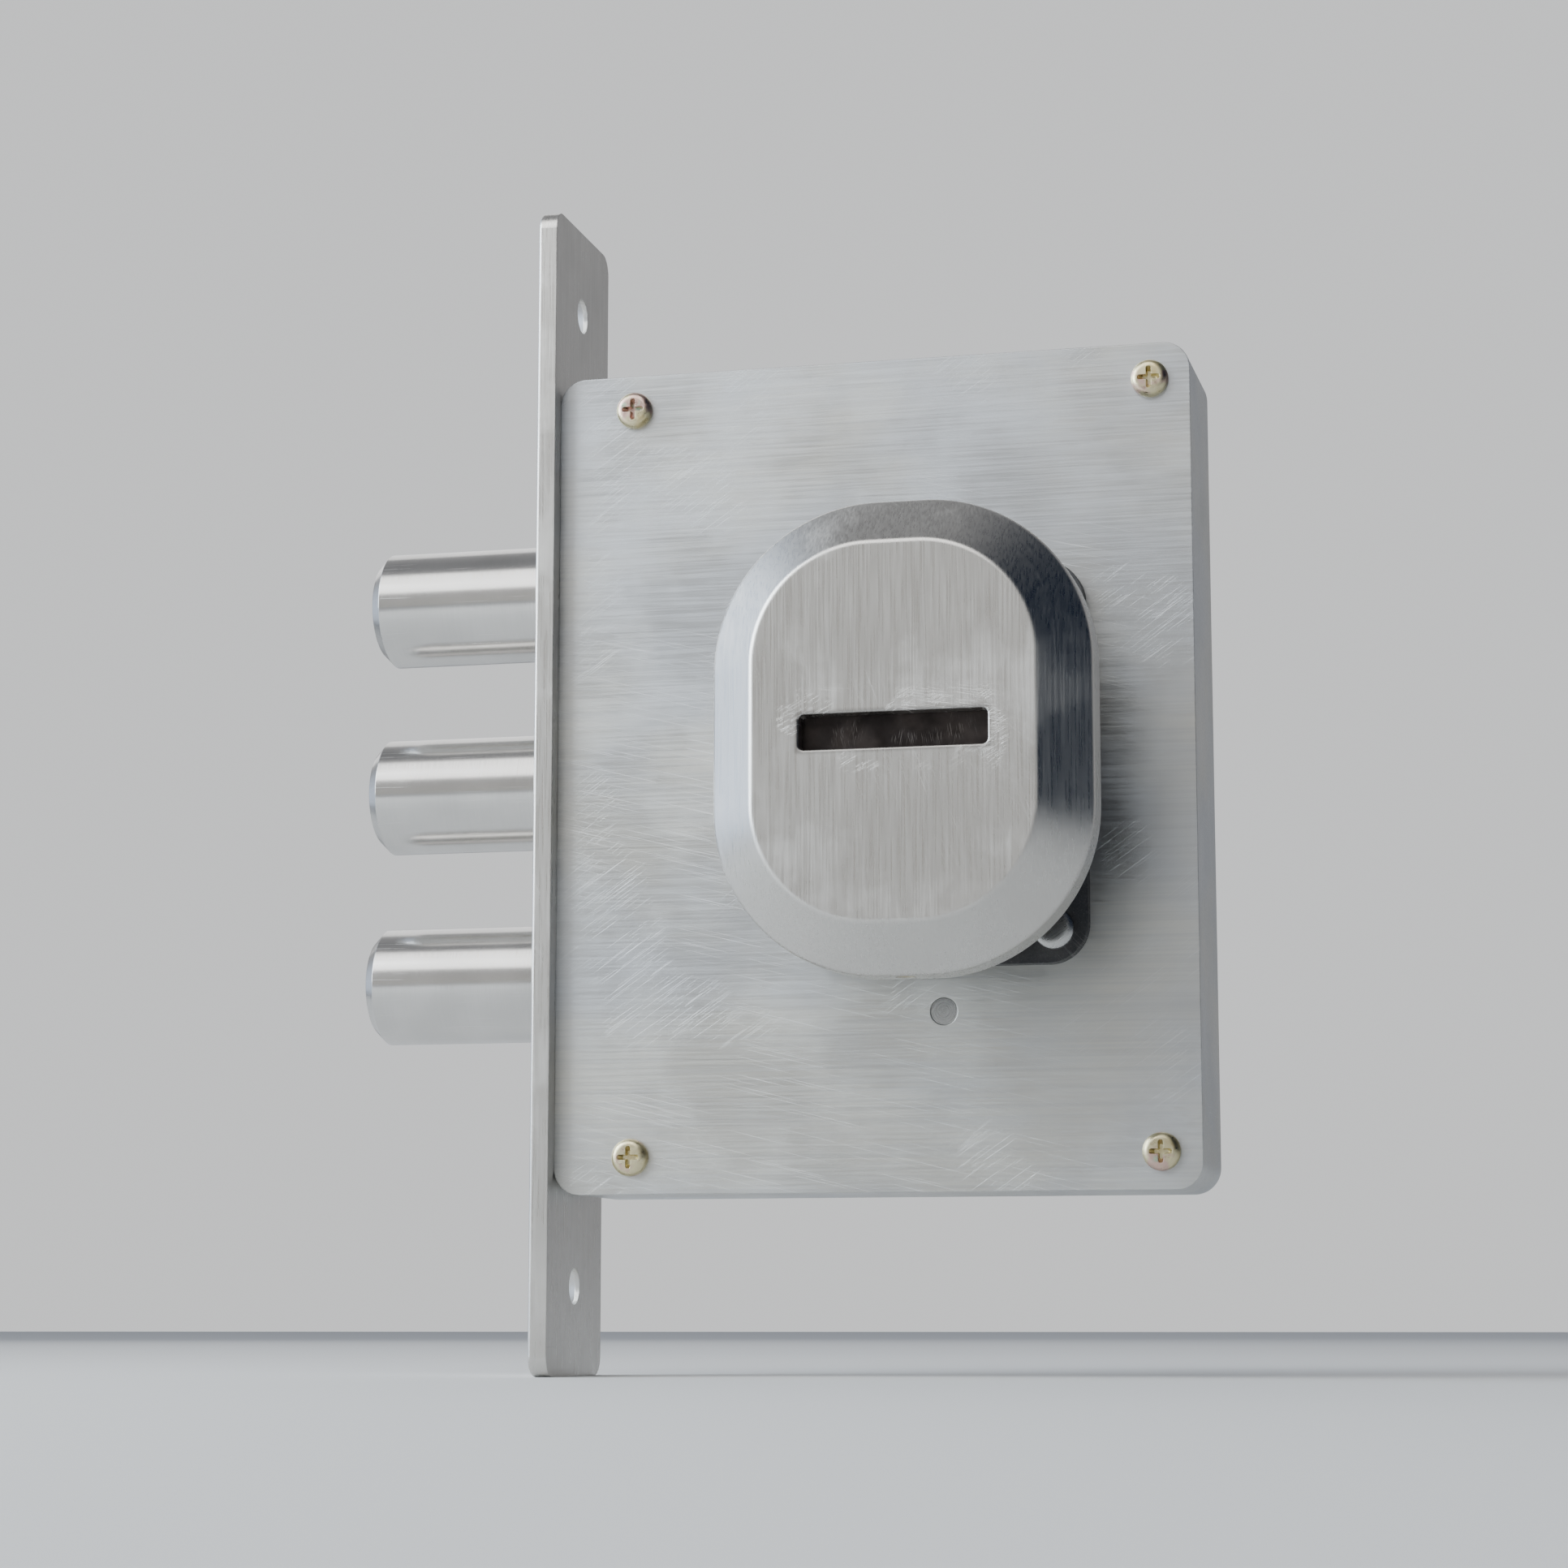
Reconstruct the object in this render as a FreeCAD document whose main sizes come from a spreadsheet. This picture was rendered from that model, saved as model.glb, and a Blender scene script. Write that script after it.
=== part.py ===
"""Mortise deadbolt for a steel entrance door, worked by a double-bit key from both sides.

Frame: the origin is on the key axis, on the door's outside face. +X runs from the lock edge into the
door, +Y from the outside face to the inside face, and +Z is up. Millimetres. At rest the bolts are
thrown, and the levers stand on the gate line, where the key holds them while the bolts move.
"""

import FreeCAD, Part

import math
import os
import re

import Sketcher
from FreeCAD import Placement, Rotation, Vector

DIMENSIONS = {
    # door and key
    "door_thickness": 70,
    "backset": 63,
    "slot_length": 27,
    "slot_height": 5,
    "slot_play": 0.4,
    "slot_corner": 0.8,
    "slot_softening": 0.35,
    # outside escutcheon
    "plate_width": 55,
    "plate_height": 68,
    "plate_corner": 24,
    "cover_depth": 11.5,
    "cover_wall": 2,
    "cover_face": 2.5,
    "bevel_width": 7,
    "bevel_depth": 6,
    "edge_softening": 1.2,
    "fit_gap": 0.1,
    "fixing_spacing": 43,
    "fixing_radius": 2.5,
    "fixing_head_radius": 4.6,
    "fixing_head_height": 2.4,
    "tip_clearance": 0.5,
    "drive_share": 0.7,
    "drive_depth": 1.8,
    # shutter behind the outside slot
    "shutter_width": 30.4,
    "shutter_height": 8.8,
    "shutter_thickness": 1.7,
    "shutter_lap": 2.4,
    "shutter_pocket_depth": 2,
    "shutter_pocket_floor": 16,
    "shutter_spring_x": 11,
    "shutter_coil_radius": 0.55,
    "shutter_wire_radius": 0.2,
    "shutter_easing": 0.6,
    "shutter_coil_pitch": 1.6,
    "grub_radius": 1.5,
    "grub_length": 4,
    "grub_inset": 0.2,
    "grub_drive_share": 0.58,
    "outer_grub_depth": -3,
    # inside escutcheon
    "inner_depth": 8,
    "inner_wall": 1.5,
    "inner_bevel": 2.5,
    "inner_softening": 0.6,
    "inner_hollow_bevel": 1.6,
    "inner_hollow_drop": 0.6,
    "inner_base_thickness": 3.5,
    "inner_head_height": 2,
    "inner_grub_radius": 1.25,
    "inner_grub_depth": 1.75,
    "flap_width": 33,
    "flap_top": 27,
    "flap_bottom": 9,
    "flap_corner": 9,
    "flap_thickness": 1.5,
    "flap_gap": 0.15,
    "flap_pivot_height": 20,
    "flap_pin_radius": 2,
    "flap_head_radius": 4,
    "flap_head_top": 2.4,
    "flap_head_height": 1,
    "flap_knob_radius": 3,
    "flap_knob_height": 1.6,
    "flap_knob_softening": 1.2,
    "flap_softening": 0.45,
    "rivet_tail_height": 0.8,
    # forend
    "forend_length": 180,
    "forend_width": 28,
    "forend_thickness": 3,
    "forend_corner": 3,
    "forend_softening": 0.5,
    "forend_hole_spacing": 153,
    "forend_hole_radius": 2.75,
    "forend_sink_radius": 5,
    "forend_rivet_inner": 15,
    "forend_rivet_outer": 50,
    "rivet_radius": 2,
    "rivet_head_radius": 3,
    "rivet_head_height": 0.5,
    # case
    "case_length": 98,
    "case_height": 126,
    "case_thickness": 22,
    "case_corner": 4,
    "case_softening": 1,
    "sheet_metal": 1.5,
    "pillar_radius": 3,
    "pillar_height": 57.5,
    "pillar_edge": 12,
    "tail_inset": 0.8,
    "tail_head_margin": 1,
    "tail_head_height": 0.5,
    "cover_screw_radius": 1.5,
    "cover_screw_head": 2.8,
    "cover_screw_head_height": 1.5,
    "cover_screw_depth": 8,
    "cross_width": 0.7,
    "cross_reach": 1.7,
    "cross_depth": 0.9,
    # hardened plate in front of the case
    "hard_plate_width": 44,
    "hard_plate_height": 60,
    "hard_plate_corner": 6,
    "hard_plate_thickness": 2.5,
    "hard_rivet_x": 17,
    "hard_rivet_z": 25,
    "hard_rivet_top": 2.1,
    "hard_rivet_height": 1,
    "nut_radius": 4.5,
    "nut_length": 5.5,
    # bolts and carriage
    "bolt_radius": 9,
    "bolt_spacing": 30,
    "bolt_length": 42,
    "bolt_chamfer": 1.6,
    "bolt_play": 0.25,
    "carriage_thickness": 3.6,
    "carriage_bar": 8,
    "carriage_screw_radius": 2,
    "carriage_screw_head": 3.7,
    "carriage_top": 49,
    "carriage_arm_low": 24,
    "carriage_bottom": 53.4,
    "guide_radius": 2.5,
    "guide_play": 0.3,
    "guide_head_radius": 4,
    "guide_head_height": 1.2,
    "upper_guide_x": -11,
    "upper_guide_z": 43.5,
    "lower_guide_x": -6,
    "lower_guide_z": -48.2,
    "stump_size": 5,
    "stump_x": -9,
    "stump_z": 30,
    "stump_pin_radius": 2,
    "stump_margin": 3.5,
    # detent: each place on its wire is given from the tip that stands in the carriage's notch
    "detent_x": -15,
    "detent_notch": 2,
    "detent_bend": 0.8,
    "detent_seat_end": 24,
    "detent_seat_start": 12,
    "detent_knee_x": 3,
    "detent_knee_z": 3.6,
    "detent_lift_x": 4,
    "detent_lift_z": 4.4,
    "detent_tail_x": 9,
    "detent_tail_z": 5,
    # gears
    "gear_module": 1,
    "pressure_angle": 20,
    "dedendum": 1.25,
    "key_gear_teeth": 35,
    "transfer_teeth": 38,
    "pinion_teeth": 10,
    "gear_width": 4.4,
    "gear_backlash": 0.14,
    "hub_radius": 15.9,
    "arbor_radius": 4.4,
    "arbor_seat_radius": 4,
    "pivot_radius": 2,
    "rack_teeth": 13,
    "rack_addendum": 0.55,
    "rack_start": 1.5,
    "wheel_hole_ring": 11,
    "wheel_hole_radius": 3.2,
    # layers, levers and their springs
    "layer_gap": 0.3,
    "divider_thickness": 1,
    "divider_margin": 3,
    "divider_corner": 2,
    "lever_thickness": 1.5,
    "lever_pitch": 1.7,
    "lever_left": -17,
    "lever_right": 31,
    "lever_low": -18.5,
    "lever_high": 40,
    "lever_window": 15,
    "lever_post_x": 26,
    "lever_post_z": 9,
    "lever_post_radius": 2,
    "lever_travel": 3,
    "lever_spring_x": 27.5,
    "lever_spring_rise": 8,
    "lever_spring_slope": 14,
    "lever_spring_reach": 21,
    "lever_spring_bend": 4,
    "spring_gap": 0.05,
    "lever_notch": 1,
    "lever_notch_depth": 3,
    "gate_play": 0.3,
    "pocket_half_width": 4.5,
    "pocket_half_height": 6.5,
    "spring_wire_radius": 0.45,
    # the height of each lever's belly above the key axis: the five cuts of the key
    "first_belly": 9,
    "second_belly": 11.5,
    "third_belly": 10,
    "fourth_belly": 12.5,
    "fifth_belly": 10.5,
    # how far a cutting tool runs past the material
    "overshoot": 1,
}
LEVER_BELLIES = ("first_belly", "second_belly", "third_belly", "fourth_belly", "fifth_belly")
WHEEL_HOLES = 5
SAME_PLACE = 1e-4

doc = FreeCAD.newDocument("deadbolt_lock")
sheet = doc.addObject("Spreadsheet::Sheet", "Dimensions")
for row, (cell_name, number) in enumerate(DIMENSIONS.items(), start=1):
    sheet.set(f"A{row}", cell_name)
    sheet.set(f"B{row}", str(number))
    sheet.setAlias(f"B{row}", cell_name)
doc.recompute()

# Planes and places that several pieces share, as expressions in the sheet's names.
THROW = "(pi * gear_module * pinion_teeth * key_gear_teeth / transfer_teeth)"
MIDDLE = "(door_thickness / 2)"
CASE_FRONT = "(door_thickness / 2 - case_thickness / 2)"
CASE_REAR = "(door_thickness / 2 + case_thickness / 2)"
LID_BACK = f"({CASE_FRONT} + sheet_metal)"
FLOOR = f"({CASE_REAR} - sheet_metal)"
FOREND_BACK = "(-backset + forend_thickness)"
CASE_END = f"({FOREND_BACK} + case_length)"
GEAR_FRONT = f"({LID_BACK} + layer_gap)"
GEAR_BACK = f"({GEAR_FRONT} + gear_width)"
DIVIDER_FRONT = f"({GEAR_BACK} + layer_gap)"
DIVIDER_BACK = f"({DIVIDER_FRONT} + divider_thickness)"
LEVERS_FRONT = f"({DIVIDER_BACK} + layer_gap)"
CARRIAGE_BACK = f"({FLOOR} - layer_gap)"
CARRIAGE_FRONT = f"({CARRIAGE_BACK} - carriage_thickness)"
HARD_FRONT = f"({CASE_FRONT} - hard_plate_thickness)"
TRANSFER_Z = "(-(key_gear_teeth + transfer_teeth) * gear_module / 2)"
RACK_LINE = f"({TRANSFER_Z} - pinion_teeth * gear_module / 2)"
RACK_PITCH = "(gear_module * pi)"
BOLT_TIP = f"(-backset - {THROW})"
BOLT_REAR = f"({BOLT_TIP} + bolt_length)"
BAR_LEFT = f"({BOLT_REAR} - carriage_bar)"
FIXINGS = {"upper": "(fixing_spacing / 2)", "lower": "(-fixing_spacing / 2)"}
INNER_FACE = "door_thickness"
BOLT_HEIGHTS = {"bottom": "-bolt_spacing", "middle": "0", "top": "bolt_spacing"}
# The middle of a spring wire that lies against the case's top wall.
WIRE_CEILING = "(case_height / 2 - sheet_metal - spring_wire_radius - spring_gap)"


def cells(text):
    """The expression with the sheet's name put before each of its cells."""
    return re.sub(
        "[a-z_]+", lambda word: f"Dimensions.{word[0]}" if word[0] in DIMENSIONS else word[0], text
    )


def value(text):
    return float(sheet.evalExpression(cells(text)))


def bind(made, prop, text):
    made.setExpression(prop, cells(text))


# ---------------------------------------------------------------- primitives

TURNS = {
    "x": Rotation(Vector(0, 1, 0), 90),
    "y": Rotation(Vector(1, 0, 0), -90),
    "z": Rotation(),
}


def place(made, axis, centre, low):
    """Stands a round primitive on low along its axis; centre is its other two coordinates."""
    made.Placement = Placement(Vector(), TURNS[axis])
    others = [letter for letter in "xyz" if letter != axis]
    for letter, text in zip(others + [axis], list(centre) + [low]):
        bind(made, f"Placement.Base.{letter}", text)
    return made


def block(name, x, y, z):
    """A box between two planes in each direction."""
    made = doc.addObject("Part::Box", name)
    for size, letter, (low, high) in zip(("Length", "Width", "Height"), "xyz", (x, y, z)):
        bind(made, size, f"({high}) - ({low})")
        bind(made, f"Placement.Base.{letter}", low)
    return made


def rod(name, axis, centre, radius, low, high):
    made = doc.addObject("Part::Cylinder", name)
    bind(made, "Radius", radius)
    bind(made, "Height", f"({high}) - ({low})")
    return place(made, axis, centre, low)


def cone(name, axis, centre, low_radius, high_radius, low, high):
    made = doc.addObject("Part::Cone", name)
    bind(made, "Radius1", low_radius)
    bind(made, "Radius2", high_radius)
    bind(made, "Height", f"({high}) - ({low})")
    return place(made, axis, centre, low)


def hexagon(name, axis, centre, radius, low, high):
    made = doc.addObject("Part::Prism", name)
    made.Polygon = 6
    bind(made, "Circumradius", radius)
    bind(made, "Height", f"({high}) - ({low})")
    return place(made, axis, centre, low)


def fuse(name, *shapes):
    made = doc.addObject("Part::MultiFuse", name)
    made.Shapes = list(shapes)
    return made


def cut(name, base, *tools):
    made = doc.addObject("Part::Cut", name)
    made.Base = base
    made.Tool = tools[0] if len(tools) == 1 else fuse(f"{name}_tools", *tools)
    return made


def group(name, *solids):
    """Separate solids that share one node, such as a set of identical screws."""
    made = doc.addObject("Part::Compound", name)
    made.Links = list(solids)
    return made


def raw(name, shape):
    made = doc.addObject("Part::Feature", name)
    made.Shape = shape
    return made


# ---------------------------------------------------------------- sketches and bodies


def new_body(name):
    return doc.addObject("PartDesign::Body", f"{name}_body")


def sketch_on(body, name, plane, offset):
    """A sketch on an origin plane of its own body, moved along the plane's normal."""
    sketch = body.newObject("Sketcher::SketchObject", name)
    support = next(f for f in body.Origin.OriginFeatures if f.Role == plane)
    sketch.AttachmentSupport = [(support, "")]
    sketch.MapMode = "FlatFace"
    bind(sketch, "AttachmentOffset.Base.z", offset)
    return sketch


def front_sketch(body, name, y):
    """A sketch in X and Z at this y. Its normal points outside, along -Y."""
    return sketch_on(body, name, "XZ_Plane", f"-({y})")


def dimension(sketch, kind, *where, text):
    index = sketch.addConstraint(Sketcher.Constraint(kind, *where, value(text)))
    bind(sketch, f"Constraints[{index}]", text)


def polygon(sketch, points):
    """A closed outline of straight lines through points given as expressions."""
    corners = [Vector(value(u), value(v), 0) for u, v in points]
    ring = corners[1:] + corners[:1]
    lines = [sketch.addGeometry(Part.LineSegment(a, b)) for a, b in zip(corners, ring)]
    for line, after, (u, v) in zip(lines, lines[1:] + lines[:1], points):
        sketch.addConstraint(Sketcher.Constraint("Coincident", line, 2, after, 1))
        dimension(sketch, "DistanceX", line, 1, text=u)
        dimension(sketch, "DistanceY", line, 1, text=v)


def rectangle(sketch, left, right, low, high):
    polygon(sketch, [(left, low), (right, low), (right, high), (left, high)])


def circle(sketch, u, v, radius):
    round_one = Part.Circle(Vector(value(u), value(v), 0), Vector(0, 0, 1), value(radius))
    index = sketch.addGeometry(round_one)
    dimension(sketch, "DistanceX", index, 3, text=u)
    dimension(sketch, "DistanceY", index, 3, text=v)
    dimension(sketch, "Radius", index, text=radius)


def rounded_rectangle(sketch, left, right, low, high, radius):
    """Four sides and four tangent corner arcs."""
    a, b, c, d, r = (value(text) for text in (left, right, low, high, radius))
    sides = [
        ((a + r, c), (b - r, c)),
        ((b, c + r), (b, d - r)),
        ((b - r, d), (a + r, d)),
        ((a, d - r), (a, c + r)),
    ]
    centres = [(b - r, c + r), (b - r, d - r), (a + r, d - r), (a + r, c + r)]
    ring = []
    for corner, (side, centre) in enumerate(zip(sides, centres)):
        ring.append(sketch.addGeometry(Part.LineSegment(*(Vector(*p, 0) for p in side))))
        start = (corner - 1) * math.pi / 2
        turn = Part.Circle(Vector(*centre, 0), Vector(0, 0, 1), r)
        ring.append(sketch.addGeometry(Part.ArcOfCircle(turn, start, start + math.pi / 2)))
    for one, after in zip(ring, ring[1:] + ring[:1]):
        sketch.addConstraint(Sketcher.Constraint("Tangent", one, 2, after, 1))
    for side, kind, way, text in zip(
        ring[::2],
        ("Horizontal", "Vertical") * 2,
        ("DistanceY", "DistanceX") * 2,
        (low, right, high, left),
    ):
        sketch.addConstraint(Sketcher.Constraint(kind, side))
        dimension(sketch, way, side, 1, text=text)
    for arc in ring[3::2]:
        sketch.addConstraint(Sketcher.Constraint("Equal", ring[1], arc))
    dimension(sketch, "Radius", ring[1], text=radius)


def slot(sketch, left, right, v, radius):
    """A straight slot with round ends; left and right are the centres of its ends."""
    a, b, c, r = (value(text) for text in (left, right, v, radius))
    low = sketch.addGeometry(Part.LineSegment(Vector(a, c - r, 0), Vector(b, c - r, 0)))
    end = Part.Circle(Vector(b, c, 0), Vector(0, 0, 1), r)
    right_arc = sketch.addGeometry(Part.ArcOfCircle(end, -math.pi / 2, math.pi / 2))
    high = sketch.addGeometry(Part.LineSegment(Vector(b, c + r, 0), Vector(a, c + r, 0)))
    end = Part.Circle(Vector(a, c, 0), Vector(0, 0, 1), r)
    left_arc = sketch.addGeometry(Part.ArcOfCircle(end, math.pi / 2, 3 * math.pi / 2))
    ring = [low, right_arc, high, left_arc]
    for one, after in zip(ring, ring[1:] + ring[:1]):
        sketch.addConstraint(Sketcher.Constraint("Tangent", one, 2, after, 1))
    sketch.addConstraint(Sketcher.Constraint("Horizontal", low))
    sketch.addConstraint(Sketcher.Constraint("Equal", right_arc, left_arc))
    dimension(sketch, "Radius", right_arc, text=radius)
    dimension(sketch, "DistanceX", right_arc, 3, text=right)
    dimension(sketch, "DistanceY", right_arc, 3, text=v)
    dimension(sketch, "DistanceX", left_arc, 3, text=left)


def feature(body, kind, sketch, length, outward):
    """A Pad or Pocket of this length. outward is True for the way the sketch's normal points."""
    made = body.newObject(f"PartDesign::{kind}", f"{sketch.Name}_{kind.lower()}")
    made.Profile = sketch
    made.Reversed = outward != (kind == "Pad")
    bind(made, "Length", length)
    return made


def plate(body, name, y_front, y_back, draw):
    """A flat piece between two planes of y; draw puts its outline and holes in the sketch."""
    sketch = front_sketch(body, f"{name}_outline", y_back)
    draw(sketch)
    return feature(body, "Pad", sketch, f"({y_back}) - ({y_front})", outward=True)


def soften(body, base, radius, wanted):
    """Rounds the edges of base that wanted accepts."""
    doc.recompute()
    found = [f"Edge{i}" for i, e in enumerate(base.Shape.Edges, start=1) if wanted(e)]
    made = body.newObject("PartDesign::Fillet", f"{base.Name}_soft")
    made.Base = (base, found)
    bind(made, "Radius", radius)
    return made


def in_plane(letter, level):
    """A test for the outline edges in one plane across X, Y or Z. A hole's whole circle is left out."""
    place_in_box = value(level)

    def test(edge):
        low = getattr(edge.BoundBox, f"{letter}Min")
        high = getattr(edge.BoundBox, f"{letter}Max")
        flat = max(abs(low - place_in_box), abs(high - place_in_box)) < SAME_PLACE
        return flat and not edge.isClosed()

    return test


def in_slot(edge):
    """Whether an edge lies within the key slot's height."""
    return max(abs(edge.BoundBox.ZMin), abs(edge.BoundBox.ZMax)) < value("slot_height")


def bevelled_form(body, name, additive, away, inset, straight, bevel, total, base="0"):
    """The escutcheon's oval block, or a hollow of that shape: straight sides, then a bevel.

    away is "-" towards the outside or "" towards the inside, inset is how far it lies inside the
    full outline, straight and total are depths, and bevel is how far the front draws in.
    """

    def oval(sketch, extra):
        half_width = f"(plate_width / 2 - ({inset}) - ({extra}))"
        half_height = f"(plate_height / 2 - ({inset}) - ({extra}))"
        corner = f"(plate_corner - ({inset}) - ({extra}))"
        rounded_rectangle(
            sketch, f"-{half_width}", half_width, f"-{half_height}", half_height, corner
        )

    foot = front_sketch(body, f"{name}_foot", base)
    oval(foot, "0")
    kind = "Pad" if additive else "Pocket"
    feature(body, kind, foot, straight, outward=away == "-")
    shoulder = front_sketch(body, f"{name}_shoulder", f"{base} + {away}({straight})")
    oval(shoulder, "0")
    face = front_sketch(body, f"{name}_face", f"{base} + {away}({total})")
    oval(face, bevel)
    loft_kind = "AdditiveLoft" if additive else "SubtractiveLoft"
    loft = body.newObject(f"PartDesign::{loft_kind}", f"{name}_bevel")
    loft.Profile = shoulder
    loft.Sections = [face]
    loft.Ruled = True
    return loft


# ---------------------------------------------------------------- gears and springs


def involute(angle):
    return math.tan(angle) - angle


def gear_blank(teeth, phase):
    """The outline of a gear about the origin of X and Z, with a tooth centred at angle phase."""
    module, backlash = value("gear_module"), value("gear_backlash")
    pitch_r = module * teeth / 2
    pressure_angle = math.radians(value("pressure_angle"))
    base_r = pitch_r * math.cos(pressure_angle)
    tip_r, root_r = pitch_r + module, pitch_r - value("dedendum") * module
    start_r = max(root_r, base_r)

    def half_angle(radius):
        at_pitch = math.pi / (2 * teeth) - backlash / (2 * pitch_r) + involute(pressure_angle)
        return at_pitch - involute(math.acos(min(1.0, base_r / radius)))

    def point(radius, angle):
        return Vector(radius * math.cos(angle), 0, radius * math.sin(angle))

    edges = []
    step = 2 * math.pi / teeth
    for tooth in range(teeth):
        middle = phase + tooth * step
        radii = (start_r, (start_r + tip_r) / 2, tip_r)
        rise = [point(r, middle - half_angle(r)) for r in radii]
        fall = [point(r, middle + half_angle(r)) for r in reversed(radii)]
        foot = half_angle(start_r)
        root_in = point(root_r, middle - foot)
        root_out = point(root_r, middle + foot)
        if root_r < start_r:
            edges.append(Part.LineSegment(root_in, rise[0]).toShape())
        edges.append(Part.Arc(*rise).toShape())
        edges.append(Part.Arc(rise[-1], point(tip_r, middle), fall[0]).toShape())
        edges.append(Part.Arc(*fall).toShape())
        if root_r < start_r:
            edges.append(Part.LineSegment(fall[-1], root_out).toShape())
        next_root = point(root_r, middle + step - foot)
        edges.append(Part.Arc(root_out, point(root_r, middle + step / 2), next_root).toShape())
    return Part.Face(Part.Wire(edges))


def gear_solid(teeth, phase, z, low, high):
    """A toothed disc on an axis along Y through x = 0 and this z."""
    blank = gear_blank(int(value(teeth)), phase)
    blank.translate(Vector(0, value(low), value(z)))
    return blank.extrude(Vector(0, value(high) - value(low), 0))


def disc(z, radius, low, high):
    """A cylinder along Y through x = 0 and this z."""
    return Part.makeCylinder(
        value(radius), value(high) - value(low), Vector(0, value(low), value(z)), Vector(0, 1, 0)
    )


def bent_wire(points, bend, radius, y):
    """Round wire through points of X and Z at this y, with an arc at each inner corner."""
    corners = [Vector(value(x), value(y), value(z)) for x, z in points]
    edges, here = [], corners[0]
    for before, corner, after in zip(corners, corners[1:], corners[2:]):
        back = (before - corner).normalize()
        on = (after - corner).normalize()
        half_turn = (math.pi - back.getAngle(on)) / 2
        reach = value(bend) * math.tan(half_turn)
        bisector = (back + on).normalize()
        sagitta = value(bend) * (1 / math.cos(half_turn) - 1)
        start, end = corner + back * reach, corner + on * reach
        edges.append(Part.LineSegment(here, start).toShape())
        edges.append(Part.Arc(start, corner + bisector * sagitta, end).toShape())
        here = end
    edges.append(Part.LineSegment(here, corners[-1]).toShape())
    way = corners[1] - corners[0]
    ring = Part.Wire(Part.Circle(corners[0], way, value(radius)).toShape())
    return Part.Wire(edges).makePipeShell([ring], True, False)


def coil(x, y, low, high, pitch, coil_radius, wire_radius):
    """A compression spring standing along Z."""
    pitch, coil_radius, wire_radius = value(pitch), value(coil_radius), value(wire_radius)
    length = value(high) - value(low) - 2 * wire_radius
    path = Part.makeHelix(pitch, length, coil_radius)
    start = path.Edges[0].valueAt(path.Edges[0].FirstParameter)
    way = path.Edges[0].tangentAt(path.Edges[0].FirstParameter)
    ring = Part.Wire(Part.Circle(start, way, wire_radius).toShape())
    made = Part.Wire(path.Edges).makePipeShell([ring], True, True)
    made.translate(Vector(value(x), value(y), value(low) + wire_radius))
    return made


# ---------------------------------------------------------------- outside escutcheon

BASE_DEPTH = "(cover_depth - cover_face - fit_gap)"
BASE_FACE = f"(-{BASE_DEPTH})"
COVER_FACE = "(-cover_depth)"
# Where the cover's hollow starts to draw in, so that the wall under the bevel keeps its thickness.
BEVEL_SLOPE = "sqrt(bevel_width ^ 2 + bevel_depth ^ 2)"
WALL_SHIFT = f"(cover_wall * ({BEVEL_SLOPE} - bevel_depth) / bevel_width)"
HOLLOW_STRAIGHT = f"(cover_depth - bevel_depth - {WALL_SHIFT})"
HOLLOW_DEPTH = "(cover_depth - cover_face)"
HOLLOW_BEVEL = f"(({HOLLOW_DEPTH} - {HOLLOW_STRAIGHT}) * bevel_width / bevel_depth)"
SHUTTER_TOP = "(slot_height / 2 + shutter_lap)"
SHUTTER_LOW = f"({SHUTTER_TOP} - shutter_height)"


def key_slot(sketch, play="0"):
    half_length = f"(slot_length / 2 + {play})"
    half_height = f"(slot_height / 2 + {play})"
    rounded_rectangle(
        sketch, f"-{half_length}", half_length, f"-{half_height}", half_height, "slot_corner"
    )


def grub_hole(body, name, y, radius, wall):
    """A hole up through the bottom edge of an escutcheon's cover for its grub screw."""
    sketch = sketch_on(body, name, "XY_Plane", "-plate_height / 2")
    circle(sketch, "0", y, radius)
    feature(body, "Pocket", sketch, f"{wall} + overshoot", outward=True)


def grub_seat(name, y, radius):
    """The tool that drills an escutcheon's base for the grub screw."""
    end = "-plate_height / 2 + grub_inset + grub_length + fit_gap"
    return rod(name, "z", ("0", y), f"{radius} + fit_gap", "-plate_height / 2", end)


def grub_screw(name, y, radius):
    low = "(-plate_height / 2 + grub_inset)"
    pin = rod(f"{name}_pin", "z", ("0", y), radius, low, f"{low} + grub_length")
    drive = (f"{low} - overshoot", f"{low} + {radius}")
    socket = hexagon(f"{name}_socket", "z", ("0", y), f"{radius} * grub_drive_share", *drive)
    return cut(name, pin, socket)


def outer_cover():
    body = new_body("outer_cover")
    straight = "(cover_depth - bevel_depth)"
    form = bevelled_form(
        body, "outer_form", True, "-", "0", straight, "bevel_width", "cover_depth"
    )
    soft_front = soften(body, form, "edge_softening", in_plane("Y", COVER_FACE))
    soften(body, soft_front, "edge_softening", in_plane("Y", f"-{straight}"))
    hollow = (HOLLOW_STRAIGHT, HOLLOW_BEVEL, HOLLOW_DEPTH)
    bevelled_form(body, "outer_hollow", False, "-", "cover_wall", *hollow)
    opening = front_sketch(body, "outer_slot", COVER_FACE)
    key_slot(opening)
    through = feature(body, "Pocket", opening, "cover_depth", outward=False)
    at_front = in_plane("Y", COVER_FACE)
    soften(body, through, "slot_softening", lambda edge: at_front(edge) and in_slot(edge))
    grub_hole(body, "outer_grub_hole", "outer_grub_depth", "grub_radius", "cover_wall")
    return body


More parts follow.
